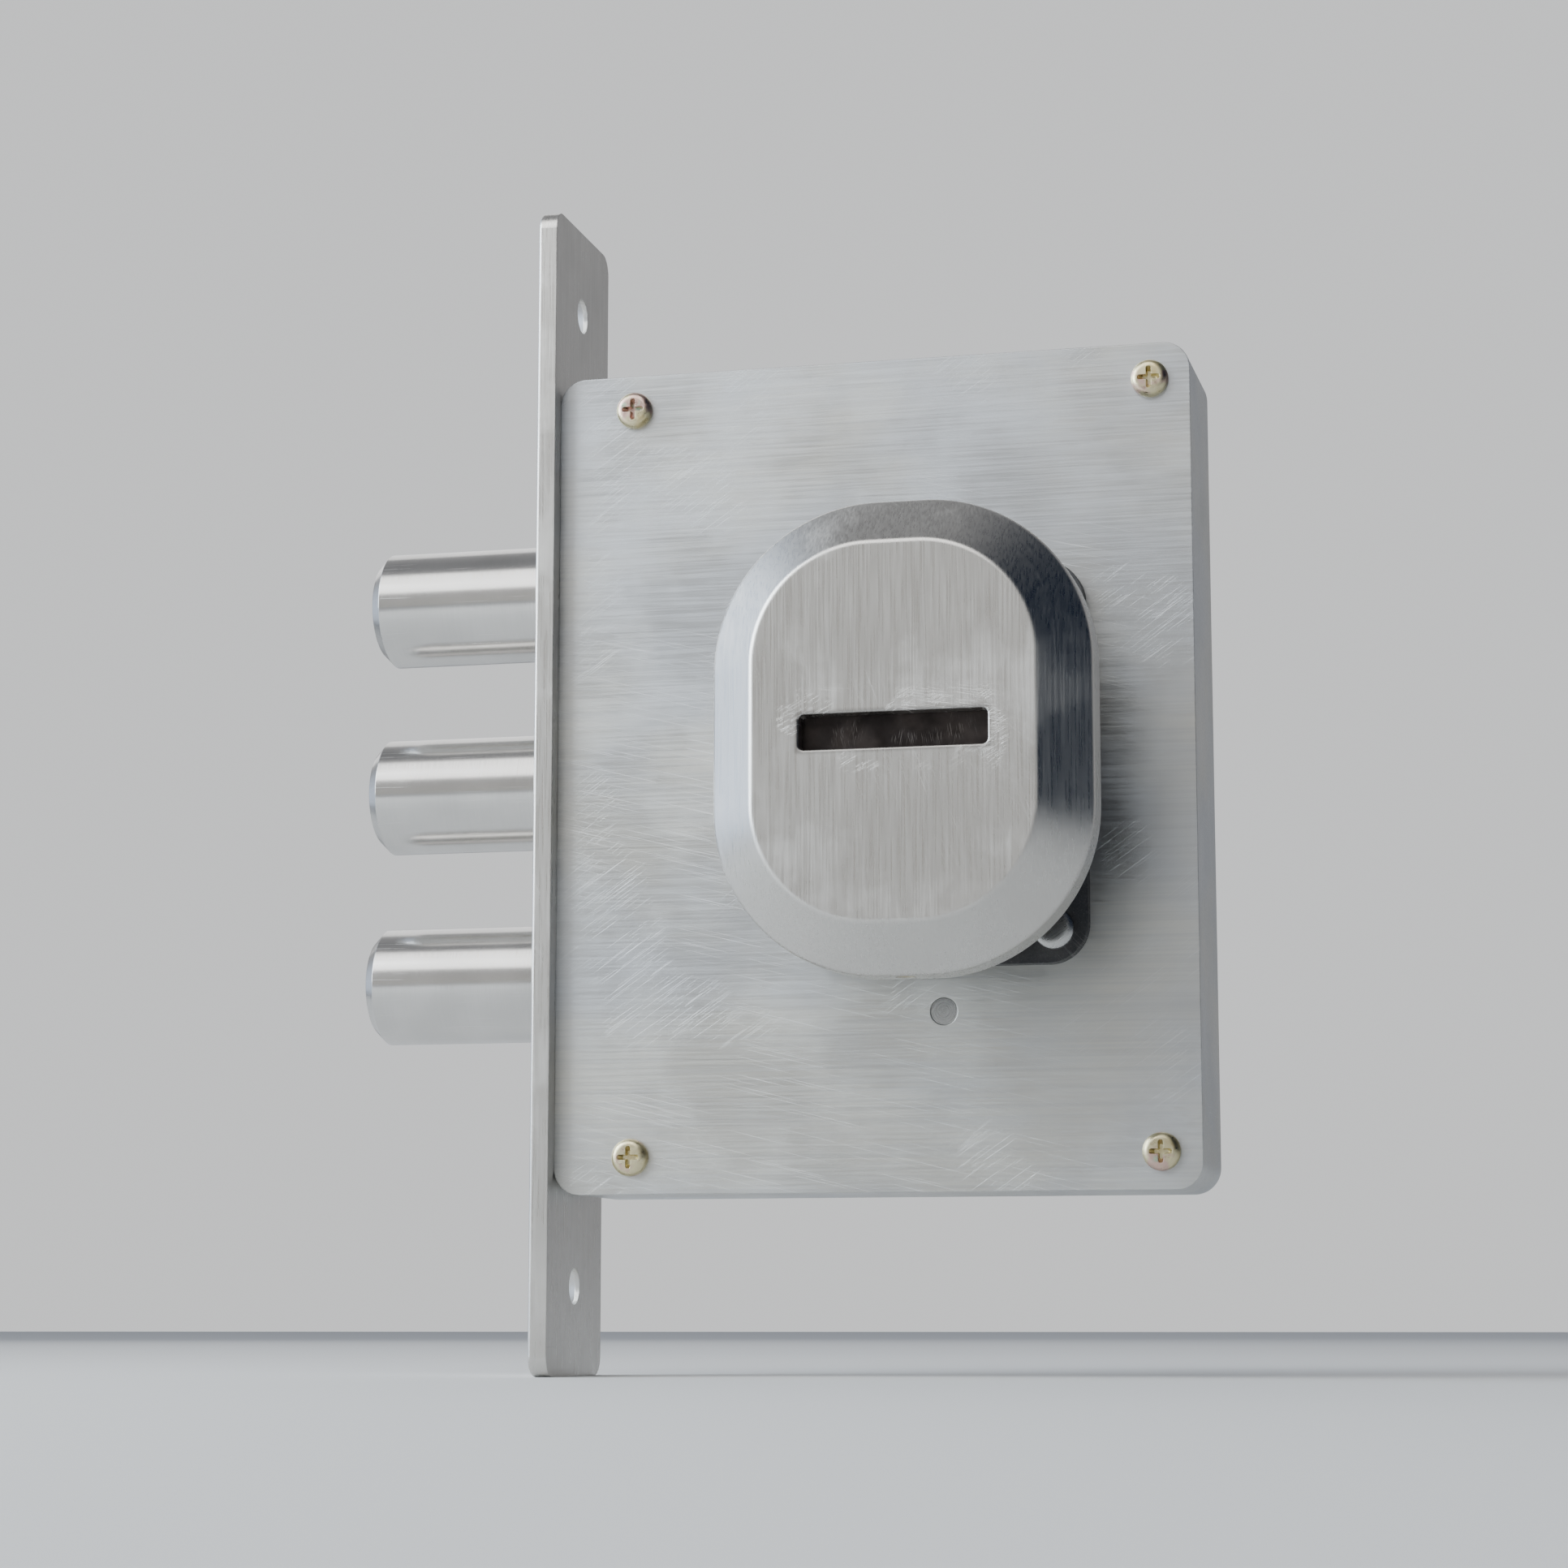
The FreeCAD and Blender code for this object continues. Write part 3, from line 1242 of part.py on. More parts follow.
def lever(index, belly):
    """One lever: guide slots, key window, and two pockets joined by the gate for the stump."""
    body = new_body(f"lever_{index + 1}")

    def draw(sketch):
        half_notch = "lever_notch / 2"
        polygon(
            sketch,
            [
                ("lever_left", "lever_low"),
                ("lever_right", "lever_low"),
                ("lever_right", "lever_high"),
                (f"lever_spring_x + {half_notch}", "lever_high"),
                (f"lever_spring_x + {half_notch}", "lever_high - lever_notch_depth"),
                (f"lever_spring_x - {half_notch}", "lever_high - lever_notch_depth"),
                (f"lever_spring_x - {half_notch}", "lever_high"),
                ("lever_left", "lever_high"),
            ],
        )
        lever_window(sketch, belly)
        for z in LEVER_POST_HEIGHTS:
            half = "(lever_post_radius + fit_gap)"
            rectangle(
                sketch,
                f"lever_post_x - {half}",
                f"lever_post_x + {half}",
                f"{z} - {half}",
                f"{z} + {half} + lever_travel",
            )
        back = f"stump_x + {THROW}"
        gate = "(stump_size / 2 + gate_play)"
        polygon(
            sketch,
            [
                ("stump_x - pocket_half_width", "stump_z - pocket_half_height"),
                ("stump_x + pocket_half_width", "stump_z - pocket_half_height"),
                ("stump_x + pocket_half_width", f"stump_z - {gate}"),
                (f"{back} - pocket_half_width", f"stump_z - {gate}"),
                (f"{back} - pocket_half_width", "stump_z - pocket_half_height"),
                (f"{back} + pocket_half_width", "stump_z - pocket_half_height"),
                (f"{back} + pocket_half_width", "stump_z + pocket_half_height"),
                (f"{back} - pocket_half_width", "stump_z + pocket_half_height"),
                (f"{back} - pocket_half_width", f"stump_z + {gate}"),
                ("stump_x + pocket_half_width", f"stump_z + {gate}"),
                ("stump_x + pocket_half_width", "stump_z + pocket_half_height"),
                ("stump_x - pocket_half_width", "stump_z + pocket_half_height"),
            ],
        )

    front = lever_front(index)
    plate(body, f"lever_{index + 1}", front, f"{front} + lever_thickness", draw)
    return body


def lever_spring(index):
    """A bent wire set in the lever's top edge that presses on the case's top wall."""
    points = [
        ("lever_spring_x", "lever_high - lever_notch_depth + spring_gap"),
        ("lever_spring_x", "lever_high + lever_spring_rise"),
        ("lever_spring_x - lever_spring_slope", WIRE_CEILING),
        ("lever_spring_x - lever_spring_reach", WIRE_CEILING),
    ]
    y = f"({lever_front(index)} + lever_thickness / 2)"
    wire = bent_wire(points, "lever_spring_bend", "spring_wire_radius", y)
    return raw(f"spring_wire_{index + 1}", wire)


def lever_posts():
    return group(
        "lever_post_pair",
        *(
            riveted_post(f"lever_post_{side}", ("lever_post_x", z), "lever_post_radius", LID_BACK)
            for side, z in enumerate(LEVER_POST_HEIGHTS)
        ),
    )


def divider_plate():
    """The sheet between the gears and the levers, which also carries the key gear's inner hub."""
    body = new_body("divider_plate")

    def draw(sketch):
        top = "(upper_guide_z + guide_radius + divider_margin)"
        sides = ("lever_left", "lever_right", "lever_low", top)
        rounded_rectangle(sketch, *sides, "divider_corner")
        circle(sketch, "0", "0", "hub_radius + fit_gap")
        circle(sketch, "upper_guide_x", "upper_guide_z", "guide_radius")
        for z in LEVER_POST_HEIGHTS:
            circle(sketch, "lever_post_x", z, "lever_post_radius")

    plate(body, "divider", DIVIDER_FRONT, DIVIDER_BACK, draw)
    return body


# ---------------------------------------------------------------- gear train


def key_gear():
    """The gear that the key turns, with the key's slot right through it."""
    teeth = gear_solid("key_gear_teeth", -math.pi / 2, "0", GEAR_FRONT, GEAR_BACK)
    hub = disc("0", "hub_radius", CASE_FRONT, DIVIDER_BACK)
    length = value("slot_length + 2 * slot_play")
    height = value("slot_height + 2 * slot_play")
    depth = value(DIVIDER_BACK) - value(CASE_FRONT)
    corner = Vector(-length / 2, value(CASE_FRONT), -height / 2)
    return raw("key_gear_form", teeth.fuse(hub).cut(Part.makeBox(length, depth, height, corner)))


def transfer_wheel():
    phase = math.pi / 2 + math.pi / value("transfer_teeth")
    wheel = gear_solid("transfer_teeth", phase, TRANSFER_Z, GEAR_FRONT, GEAR_BACK)
    wheel = wheel.cut(disc(TRANSFER_Z, "arbor_seat_radius", GEAR_FRONT, GEAR_BACK))
    ring = value("wheel_hole_ring")
    for index in range(WHEEL_HOLES):
        angle = math.pi / 2 + index * 2 * math.pi / WHEEL_HOLES
        hole = disc(TRANSFER_Z, "wheel_hole_radius", GEAR_FRONT, GEAR_BACK)
        hole.translate(Vector(ring * math.cos(angle), 0, ring * math.sin(angle)))
        wheel = wheel.cut(hole)
    return raw("transfer_wheel_form", wheel)


def transfer_pinion():
    """The arbor with the pinion that drives the rack; its pivots turn in the case."""
    teeth_front = f"({CARRIAGE_FRONT} - layer_gap)"
    pivot_ends = (f"{CASE_FRONT} + layer_gap / 2", f"{CASE_REAR} - layer_gap / 2")
    teeth = gear_solid("pinion_teeth", -math.pi / 2, TRANSFER_Z, teeth_front, CARRIAGE_BACK)
    shaft = disc(TRANSFER_Z, "arbor_radius", GEAR_BACK, teeth_front)
    seat = disc(TRANSFER_Z, "arbor_seat_radius", GEAR_FRONT, GEAR_BACK)
    pivots = disc(TRANSFER_Z, "pivot_radius", *pivot_ends)
    return raw("transfer_pinion_form", teeth.fuse([shaft, seat, pivots]).removeSplitter())


# ---------------------------------------------------------------- build, check and write


def build_pieces():
    """Every piece of the lock, under its node's name."""
    pieces = {
        "outer_cover": outer_cover(),
        "outer_base": outer_base(),
        "outer_shutter": outer_shutter(),
        "shutter_springs": shutter_springs(),
        "outer_screws": outer_screws(),
        "outer_grub_screw": grub_screw("outer_grub", "outer_grub_depth", "grub_radius"),
        "inner_cover": inner_cover(),
        "inner_base": inner_base(),
        "inner_screws": inner_screws(),
        "inner_grub_screw": grub_screw(
            "inner_grub", f"{INNER_FACE} + inner_grub_depth", "inner_grub_radius"
        ),
        "inner_flap": inner_flap(),
        "flap_rivet": flap_rivet(),
        "forend": forend(),
        "forend_rivets": forend_rivets(),
        "case_body": case_body(),
        "case_cover": case_cover(),
        "case_pillars": case_pillars(),
        "cover_screws": cover_screws(),
        "hard_plate": hard_plate(),
        "hard_plate_rivets": hard_plate_rivets(),
        "outer_nuts": nut_pair("outer_nut", f"{HARD_FRONT} - nut_length", HARD_FRONT),
        "inner_nuts": nut_pair("inner_nut", CASE_REAR, f"{CASE_REAR} + nut_length"),
        "bolt_carriage": bolt_carriage(),
        "carriage_screws": carriage_screws(),
        "bolt_stump": bolt_stump(),
        "upper_guide_post": upper_guide_post(),
        "lower_guide_post": lower_guide_post(),
        "detent_spring": detent_spring(),
        "lever_posts": lever_posts(),
        "divider_plate": divider_plate(),
        "key_gear": key_gear(),
        "transfer_wheel": transfer_wheel(),
        "transfer_pinion": transfer_pinion(),
    }
    for name, z in BOLT_HEIGHTS.items():
        pieces[f"{name}_bolt"] = lock_bolt(f"{name}_bolt", z)
    for index, belly in enumerate(LEVER_BELLIES):
        pieces[f"lever_{index + 1}"] = lever(index, belly)
        pieces[f"lever_spring_{index + 1}"] = lever_spring(index)
    return pieces


def main():
    pieces = build_pieces()
    for node, piece in pieces.items():
        piece.Label = node
    doc.recompute()
    failed = [item.Name for item in doc.Objects if {"Invalid", "Error"} & set(item.State)]
    if failed:
        raise RuntimeError(f"features that failed: {failed}")
    for node, piece in pieces.items():
        if piece.Shape.isNull() or not piece.Shape.isValid() or not piece.Shape.Solids:
            raise RuntimeError(f"{node} has no valid solid")
    os.makedirs("parts", exist_ok=True)
    for node, piece in pieces.items():
        piece.Shape.exportStep(os.path.join("parts", f"{node}.step"))
        print(f"{node:20s} solids {len(piece.Shape.Solids)}  volume {piece.Shape.Volume:9.1f}")
    print(f"throw {value(THROW):.4f} mm")


main()
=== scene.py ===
"""Looks for the mortise deadbolt: metals, threads, rivets, springs and welds round the CAD frame.

Every position is in metres in the frame's own axes: +X into the door from the lock edge,
+Y from the outside face to the inside face, +Z up.
"""

import math

import bpy
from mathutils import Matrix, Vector


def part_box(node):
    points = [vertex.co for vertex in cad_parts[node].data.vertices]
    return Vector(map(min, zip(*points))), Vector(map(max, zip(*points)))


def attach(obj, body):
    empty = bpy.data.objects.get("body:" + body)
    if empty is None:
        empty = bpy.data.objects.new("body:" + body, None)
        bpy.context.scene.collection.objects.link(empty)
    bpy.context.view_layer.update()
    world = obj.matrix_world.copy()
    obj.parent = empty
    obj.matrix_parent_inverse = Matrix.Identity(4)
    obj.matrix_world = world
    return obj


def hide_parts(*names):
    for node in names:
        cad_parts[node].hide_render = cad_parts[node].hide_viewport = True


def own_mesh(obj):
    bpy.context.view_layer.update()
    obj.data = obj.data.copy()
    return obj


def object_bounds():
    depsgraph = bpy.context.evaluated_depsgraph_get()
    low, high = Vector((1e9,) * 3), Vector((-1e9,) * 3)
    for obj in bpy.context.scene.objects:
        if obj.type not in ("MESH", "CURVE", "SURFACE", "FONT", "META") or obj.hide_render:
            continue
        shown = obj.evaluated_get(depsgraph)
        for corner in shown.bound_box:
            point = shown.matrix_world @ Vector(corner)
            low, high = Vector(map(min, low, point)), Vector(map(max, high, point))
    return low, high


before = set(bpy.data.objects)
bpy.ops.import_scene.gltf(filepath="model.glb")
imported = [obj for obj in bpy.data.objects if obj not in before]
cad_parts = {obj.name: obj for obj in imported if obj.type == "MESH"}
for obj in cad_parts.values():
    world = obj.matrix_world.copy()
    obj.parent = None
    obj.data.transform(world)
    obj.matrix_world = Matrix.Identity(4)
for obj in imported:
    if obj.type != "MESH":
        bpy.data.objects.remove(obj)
CAD_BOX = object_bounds()

MM = 0.001
TURN = 2 * math.pi

# ---------------------------------------------------------------- node helpers


def node(tree, kind, inputs=None, output=0, **settings):
    """Adds a shader node, sets or links its inputs, and returns one of its outputs."""
    made = tree.nodes.new(f"ShaderNode{kind}")
    for key, value in settings.items():
        setattr(made, key, value)
    for socket, value in (inputs or {}).items():
        if isinstance(value, bpy.types.NodeSocket):
            tree.links.new(value, made.inputs[socket])
        else:
            made.inputs[socket].default_value = value
    return made.outputs[output]


def calc(tree, operation, a, b=0.0):
    return node(tree, "Math", {0: a, 1: b}, operation=operation)


def times(tree, a, b):
    return calc(tree, "MULTIPLY", a, b)


def plus(tree, a, b):
    return calc(tree, "ADD", a, b)


def fade(tree, value, start, end, low=0.0, high=1.0):
    """low where value is at start, high where it is at end, and smooth between."""
    sockets = {"Value": value, "From Min": start, "From Max": end, "To Min": low, "To Max": high}
    return node(tree, "MapRange", sockets, interpolation_type="SMOOTHSTEP")


def blend(tree, factor, a, b):
    """Colour a where factor is 0 and b where it is 1."""
    # The Mix node's colours are its inputs 6 and 7 and its output 2.
    return node(tree, "Mix", {0: factor, 6: a, 7: b}, output=2, data_type="RGBA")


def place(tree):
    """The surface point in object coordinates, which are the frame's metres."""
    return node(tree, "TexCoord", output=3)


def axes(tree):
    """The surface point's X, Y and Z in metres."""
    split = tree.nodes.new("ShaderNodeSeparateXYZ")
    tree.links.new(place(tree), split.inputs[0])
    return split.outputs[0], split.outputs[1], split.outputs[2]


def noise(tree, grain, detail=2.0, roughness=0.5, turned=(0, 0, 0), at=None):
    """Noise whose grain is this long, in metres, along X, Y and Z, after a turn in radians."""
    moved = node(
        tree,
        "Mapping",
        {"Vector": at or place(tree), "Rotation": turned, "Scale": grain},
        vector_type="TEXTURE",
    )
    return node(
        tree,
        "TexNoise",
        {"Vector": moved, "Scale": 1.0, "Detail": detail, "Roughness": roughness},
    )


def cloud(tree, size, detail=3.0, roughness=0.5):
    """Noise of the same grain, in metres, in every direction."""
    return noise(tree, (size, size, size), detail, roughness)


def scratches(tree, angle, length, width, amount):
    """Thin scratches in the XZ plane at an angle; amount is the share of the surface they take."""
    field = noise(tree, (length, length, width), detail=1.0, turned=(0, angle, 0))
    patch = noise(tree, (length * 2,) * 3, detail=1.0, turned=(0, angle, 0))
    lines = fade(tree, field, 0.72 - amount, 0.76 - amount)
    return times(tree, lines, fade(tree, patch, 0.5, 0.62))


def rim_distance(tree, half_x, half_z):
    """The distance in XZ outside a rectangle round the Y axis, 0 inside it."""
    x, _, z = axes(tree)
    sides = []
    for along, half in ((x, half_x), (z, half_z)):
        beyond = calc(tree, "SUBTRACT", calc(tree, "ABSOLUTE", along), half)
        sides.append(calc(tree, "MAXIMUM", beyond, 0.0))
    squares = [times(tree, side, side) for side in sides]
    return calc(tree, "SQRT", plus(tree, *squares))


def metal(name, colour, roughness, heights, edge=0.12 * MM):
    """A metal whose colour, roughness and relief functions each get the node tree.

    heights is a list of (depth in metres, function) pairs, laid over a small rounding of the edges.
    """
    made = bpy.data.materials.new(name)
    made.use_nodes = True
    tree = made.node_tree
    shader = tree.nodes["Principled BSDF"]
    shader.inputs["Metallic"].default_value = 1.0
    tree.links.new(colour(tree), shader.inputs["Base Color"])
    tree.links.new(roughness(tree), shader.inputs["Roughness"])
    normal = node(tree, "Bevel", {"Radius": edge}, samples=4)
    for depth, height in heights:
        normal = node(tree, "Bump", {"Distance": depth, "Height": height(tree), "Normal": normal})
    tree.links.new(normal, shader.inputs["Normal"])
    return made


# ---------------------------------------------------------------- metals


def rgb(red, green, blue):
    return (red, green, blue, 1.0)


SLOT_HALF = (13.5 * MM, 2.5 * MM)
LANDING_HALF = (10 * MM, 0.6 * MM)
FLAP_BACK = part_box("inner_flap")[0].y


def satin_nickel():
    """Satin nickel plate, brushed upright, rubbed bright round the key slot by the key's tips, with
    painted shade in and round the key slot.
    """
    pale, deep, streak = rgb(0.62, 0.605, 0.575), rgb(0.575, 0.56, 0.53), rgb(0.50, 0.49, 0.47)
    # grime is a painted shade colour for the key slot's walls and rim; rubbed is real wear from the
    # key.
    slot_shade, rubbed = rgb(0.19, 0.175, 0.16), rgb(0.76, 0.74, 0.70)

    def slot_nearness(tree, reach):
        """1 at the key slot's rim and 0 at this distance from it; 0 all over the flap."""
        _, y, _ = axes(tree)
        covers = calc(tree, "LESS_THAN", y, FLAP_BACK - 0.05 * MM)
        return times(tree, fade(tree, rim_distance(tree, *SLOT_HALF), reach, 0.2 * MM), covers)

    def key_marks(tree):
        flat = scratches(tree, 0.15, 4 * MM, 0.10 * MM, 0.12)
        slanted = scratches(tree, -0.5, 3 * MM, 0.08 * MM, 0.10)
        return times(tree, calc(tree, "MAXIMUM", flat, slanted), slot_nearness(tree, 5 * MM))

    def hairlines(tree):
        upright = scratches(tree, 1.2, 13 * MM, 0.07 * MM, 0.05)
        slanted = scratches(tree, 0.7, 9 * MM, 0.06 * MM, 0.04)
        return calc(tree, "MAXIMUM", upright, slanted)

    def colour(tree):
        patches = noise(tree, (26 * MM, 26 * MM, 18 * MM), detail=3.0)
        base = blend(tree, fade(tree, patches, 0.35, 0.65), deep, pale)
        streaks = noise(tree, (0.22 * MM, 0.6 * MM, 22 * MM))
        brushed = blend(tree, fade(tree, streaks, 0.35, 0.7, 0.0, 0.22), base, streak)
        # Painted shade: darkens the key slot's walls and a rim about 0.9 mm wide round it.
        slot_shaded = blend(tree, times(tree, slot_nearness(tree, 0.9 * MM), 0.55), brushed, slot_shade)
        return blend(tree, key_marks(tree), slot_shaded, rubbed)

    def roughness(tree):
        streaks = noise(tree, (0.2 * MM, 0.6 * MM, 12 * MM))
        smudges = cloud(tree, 15 * MM, detail=4.0, roughness=0.6)
        level = plus(
            tree,
            fade(tree, streaks, 0.25, 0.75, 0.25, 0.37),
            fade(tree, smudges, 0.48, 0.68, 0.0, 0.10),
        )
        lines = calc(tree, "MAXIMUM", key_marks(tree), hairlines(tree))
        return plus(tree, level, times(tree, lines, 0.14))

    def brushing(tree):
        return noise(tree, (0.16 * MM, 0.6 * MM, 10 * MM))

    def plating(tree):
        return noise(tree, (2.2 * MM, 2.2 * MM, 2.6 * MM))

    relief = [(0.003 * MM, brushing), (0.006 * MM, plating), (0.010 * MM, key_marks)]
    return metal("satin_nickel", colour, roughness, relief, edge=0.2 * MM)


def zinc_sheet():
    """Electroplated zinc on rolled sheet: bluish with faint straw tints, rolling grain along X."""
    cool, warm = rgb(0.535, 0.555, 0.575), rgb(0.60, 0.595, 0.555)
    grain, rubbed = rgb(0.44, 0.45, 0.46), rgb(0.72, 0.72, 0.71)

    def rubs(tree):
        long_ones = scratches(tree, 0.25, 22 * MM, 0.13 * MM, 0.07)
        short_ones = scratches(tree, -0.6, 9 * MM, 0.10 * MM, 0.06)
        return calc(tree, "MAXIMUM", long_ones, short_ones)

    def colour(tree):
        tint = noise(tree, (40 * MM, 40 * MM, 26 * MM), detail=4.0, roughness=0.55)
        base = blend(tree, fade(tree, tint, 0.35, 0.68), cool, warm)
        rolled = noise(tree, (28 * MM, 0.35 * MM, 0.35 * MM), detail=3.0)
        grained = blend(tree, fade(tree, rolled, 0.38, 0.7, 0.0, 0.35), base, grain)
        return blend(tree, times(tree, rubs(tree), 0.5), grained, rubbed)

    def roughness(tree):
        rolled = noise(tree, (16 * MM, 0.3 * MM, 0.3 * MM))
        level = plus(
            tree,
            fade(tree, cloud(tree, 14 * MM, detail=4.0, roughness=0.55), 0.35, 0.7, 0.34, 0.45),
            fade(tree, rolled, 0.3, 0.7, -0.04, 0.06),
        )
        return plus(tree, level, times(tree, rubs(tree), 0.10))

    def rolling(tree):
        return noise(tree, (12 * MM, 0.25 * MM, 0.25 * MM), detail=3.0)

    def dents(tree):
        return cloud(tree, 24 * MM, detail=1.0)

    relief = [(0.005 * MM, rolling), (0.05 * MM, dents), (0.006 * MM, rubs)]
    return metal("zinc_sheet", colour, roughness, relief, edge=0.25 * MM)


def armour_steel():
    """Hardened steel with a dark manganese phosphate coat, fine-grained and scratched."""
    black, charcoal = rgb(0.065, 0.066, 0.07), rgb(0.125, 0.122, 0.12)
    speck, bare = rgb(0.20, 0.20, 0.20), rgb(0.42, 0.42, 0.42)

    def colour(tree):
        patches = cloud(tree, 9 * MM, detail=4.0, roughness=0.65)
        base = blend(tree, fade(tree, patches, 0.35, 0.7), black, charcoal)
        grain = cloud(tree, 0.25 * MM, detail=2.0)
        speckled = blend(tree, fade(tree, grain, 0.55, 0.75, 0.0, 0.5), base, speck)
        rubs = scratches(tree, 0.8, 9 * MM, 0.12 * MM, 0.07)
        return blend(tree, times(tree, rubs, 0.7), speckled, bare)

    def roughness(tree):
        return fade(tree, cloud(tree, 0.4 * MM), 0.3, 0.7, 0.44, 0.62)

    def pitting(tree):
        return cloud(tree, 0.18 * MM)

    return metal("armour_steel", colour, roughness, [(0.008 * MM, pitting)], edge=0.2 * MM)


def blackened_steel():
    """The shutter: blackened sheet with bare scratches where the key lands on it."""
    black, brown, bare = rgb(0.026, 0.022, 0.021), rgb(0.060, 0.050, 0.046), rgb(0.26, 0.24, 0.225)

    def landing(tree):
        near = fade(tree, rim_distance(tree, *LANDING_HALF), 3 * MM, 0.0)
        leaning = scratches(tree, 1.40, 3 * MM, 0.07 * MM, 0.10)
        crossing = scratches(tree, 1.75, 2.4 * MM, 0.06 * MM, 0.08)
        return times(tree, calc(tree, "MAXIMUM", leaning, crossing), near)

    def colour(tree):
        base = blend(tree, fade(tree, cloud(tree, 6 * MM, detail=4.0), 0.35, 0.7), black, brown)
        return blend(tree, times(tree, landing(tree), 0.5), base, bare)

    def roughness(tree):
        return fade(tree, cloud(tree, 2 * MM), 0.3, 0.7, 0.34, 0.52)

    def grain(tree):
        return noise(tree, (4 * MM, 0.15 * MM, 0.15 * MM))

    return metal("blackened_steel", colour, roughness, [(0.004 * MM, grain)])


def turned_steel(name, axis, centre, tone, gloss):
    """Steel turned about an axis along X or Y: fine rings round it, and rubs along it."""
    bright = rgb(*tone)
    dark, ring = rgb(*[0.88 * part for part in tone]), rgb(*[0.72 * part for part in tone])
    rubbed = rgb(0.80, 0.79, 0.77)

    def parts(tree):
        """The distance along the axis, and from it, in metres, and the angle round it in turns."""
        x, y, z = axes(tree)
        along, across = (x, y) if axis == "x" else (y, x)
        side = calc(tree, "SUBTRACT", across, centre[0])
        up = calc(tree, "SUBTRACT", z, centre[1])
        squares = plus(tree, times(tree, side, side), times(tree, up, up))
        angle = calc(tree, "DIVIDE", calc(tree, "ARCTAN2", up, side), TURN)
        return along, calc(tree, "SQRT", squares), angle

    def rings(tree):
        along, radius, angle = parts(tree)
        spot = node(tree, "CombineXYZ", {0: along, 1: radius, 2: times(tree, angle, MM)})
        return noise(tree, (0.10 * MM, 0.10 * MM, 3 * MM), detail=3.0, at=spot)

    def rubs(tree):
        along, _, angle = parts(tree)
        spot = node(tree, "CombineXYZ", {0: along, 2: times(tree, angle, 40 * MM)})
        return fade(tree, noise(tree, (14 * MM, MM, 0.16 * MM), at=spot), 0.62, 0.72)

    def colour(tree):
        base = blend(tree, fade(tree, cloud(tree, 12 * MM), 0.35, 0.7), dark, bright)
        ringed = blend(tree, fade(tree, rings(tree), 0.4, 0.7, 0.0, 0.3), base, ring)
        return blend(tree, times(tree, rubs(tree), 0.25), ringed, rubbed)

    def roughness(tree):
        base = fade(tree, rings(tree), 0.3, 0.7, gloss - 0.03, gloss + 0.07)
        return plus(tree, base, times(tree, rubs(tree), 0.08))

    return metal(name, colour, roughness, [(0.0035 * MM, rings)], edge=0.15 * MM)


def yellow_zinc():
    """Yellow-passivated zinc on screws: straw, with pink and green where the film thickens."""
    deep_straw, pale_straw = rgb(0.62, 0.52, 0.27), rgb(0.66, 0.60, 0.38)
    pink, green = rgb(0.60, 0.42, 0.36), rgb(0.40, 0.52, 0.38)

    def colour(tree):
        film = cloud(tree, 3.5 * MM)
        straw = blend(tree, fade(tree, film, 0.3, 0.5), deep_straw, pale_straw)
        tinted = blend(tree, fade(tree, film, 0.52, 0.62), straw, pink)
        return blend(tree, fade(tree, film, 0.64, 0.74), tinted, green)

    def roughness(tree):
        return fade(tree, cloud(tree, 0.6 * MM), 0.3, 0.7, 0.26, 0.42)

    def marks(tree):
        return cloud(tree, 0.2 * MM, detail=2.0)

    return metal("yellow_zinc", colour, roughness, [(0.003 * MM, marks)], edge=0.1 * MM)


def spring_wire():
    """Drawn spring wire, dark with oil."""
    oiled, dry = rgb(0.17, 0.165, 0.16), rgb(0.33, 0.32, 0.30)

    def colour(tree):
        return blend(tree, fade(tree, cloud(tree, 1.5 * MM), 0.35, 0.7), oiled, dry)

    def roughness(tree):
        return fade(tree, cloud(tree, 0.8 * MM, detail=2.0), 0.3, 0.7, 0.22, 0.38)

    def drawing(tree):
        return noise(tree, (0.08 * MM, 0.08 * MM, 2 * MM))

    return metal("spring_wire", colour, roughness, [(0.003 * MM, drawing)], edge=0.05 * MM)


def lever_brass():
    """Blanked brass sheet with a rolled grain along Z and a thin tarnish."""
    tarnished, clean, streak = rgb(0.50, 0.35, 0.15), rgb(0.70, 0.53, 0.26), rgb(0.46, 0.33, 0.16)

    def colour(tree):
        patches = cloud(tree, 10 * MM, detail=4.0, roughness=0.6)
        base = blend(tree, fade(tree, patches, 0.35, 0.7), tarnished, clean)
        grain = noise(tree, (0.2 * MM, 0.2 * MM, 12 * MM))
        return blend(tree, fade(tree, grain, 0.4, 0.7, 0.0, 0.3), base, streak)

    def roughness(tree):
        return fade(tree, cloud(tree, 5 * MM), 0.3, 0.7, 0.24, 0.42)

    def rolling(tree):
        return noise(tree, (0.15 * MM, 0.15 * MM, 8 * MM))

    return metal("lever_brass", colour, roughness, [(0.003 * MM, rolling)], edge=0.12 * MM)


def weld_steel():
    """Bare weld metal with straw, brown and blue heat tints."""
    grey, straw, blue = rgb(0.40, 0.40, 0.41), rgb(0.42, 0.33, 0.20), rgb(0.17, 0.19, 0.30)

    def colour(tree):
        heat = cloud(tree, 3 * MM)
        warmed = blend(tree, fade(tree, heat, 0.35, 0.5), grey, straw)
        return blend(tree, fade(tree, heat, 0.54, 0.68), warmed, blue)

    def roughness(tree):
        return fade(tree, cloud(tree, 0.5 * MM), 0.3, 0.7, 0.30, 0.50)

    def spatter(tree):
        return cloud(tree, 0.5 * MM)

    return metal("weld_steel", colour, roughness, [(0.03 * MM, spatter)], edge=0.05 * MM)


# ---------------------------------------------------------------- finishing


def paint(material, *names):
    for name in names:
        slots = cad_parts[name].data.materials
        slots.clear()
        slots.append(material)


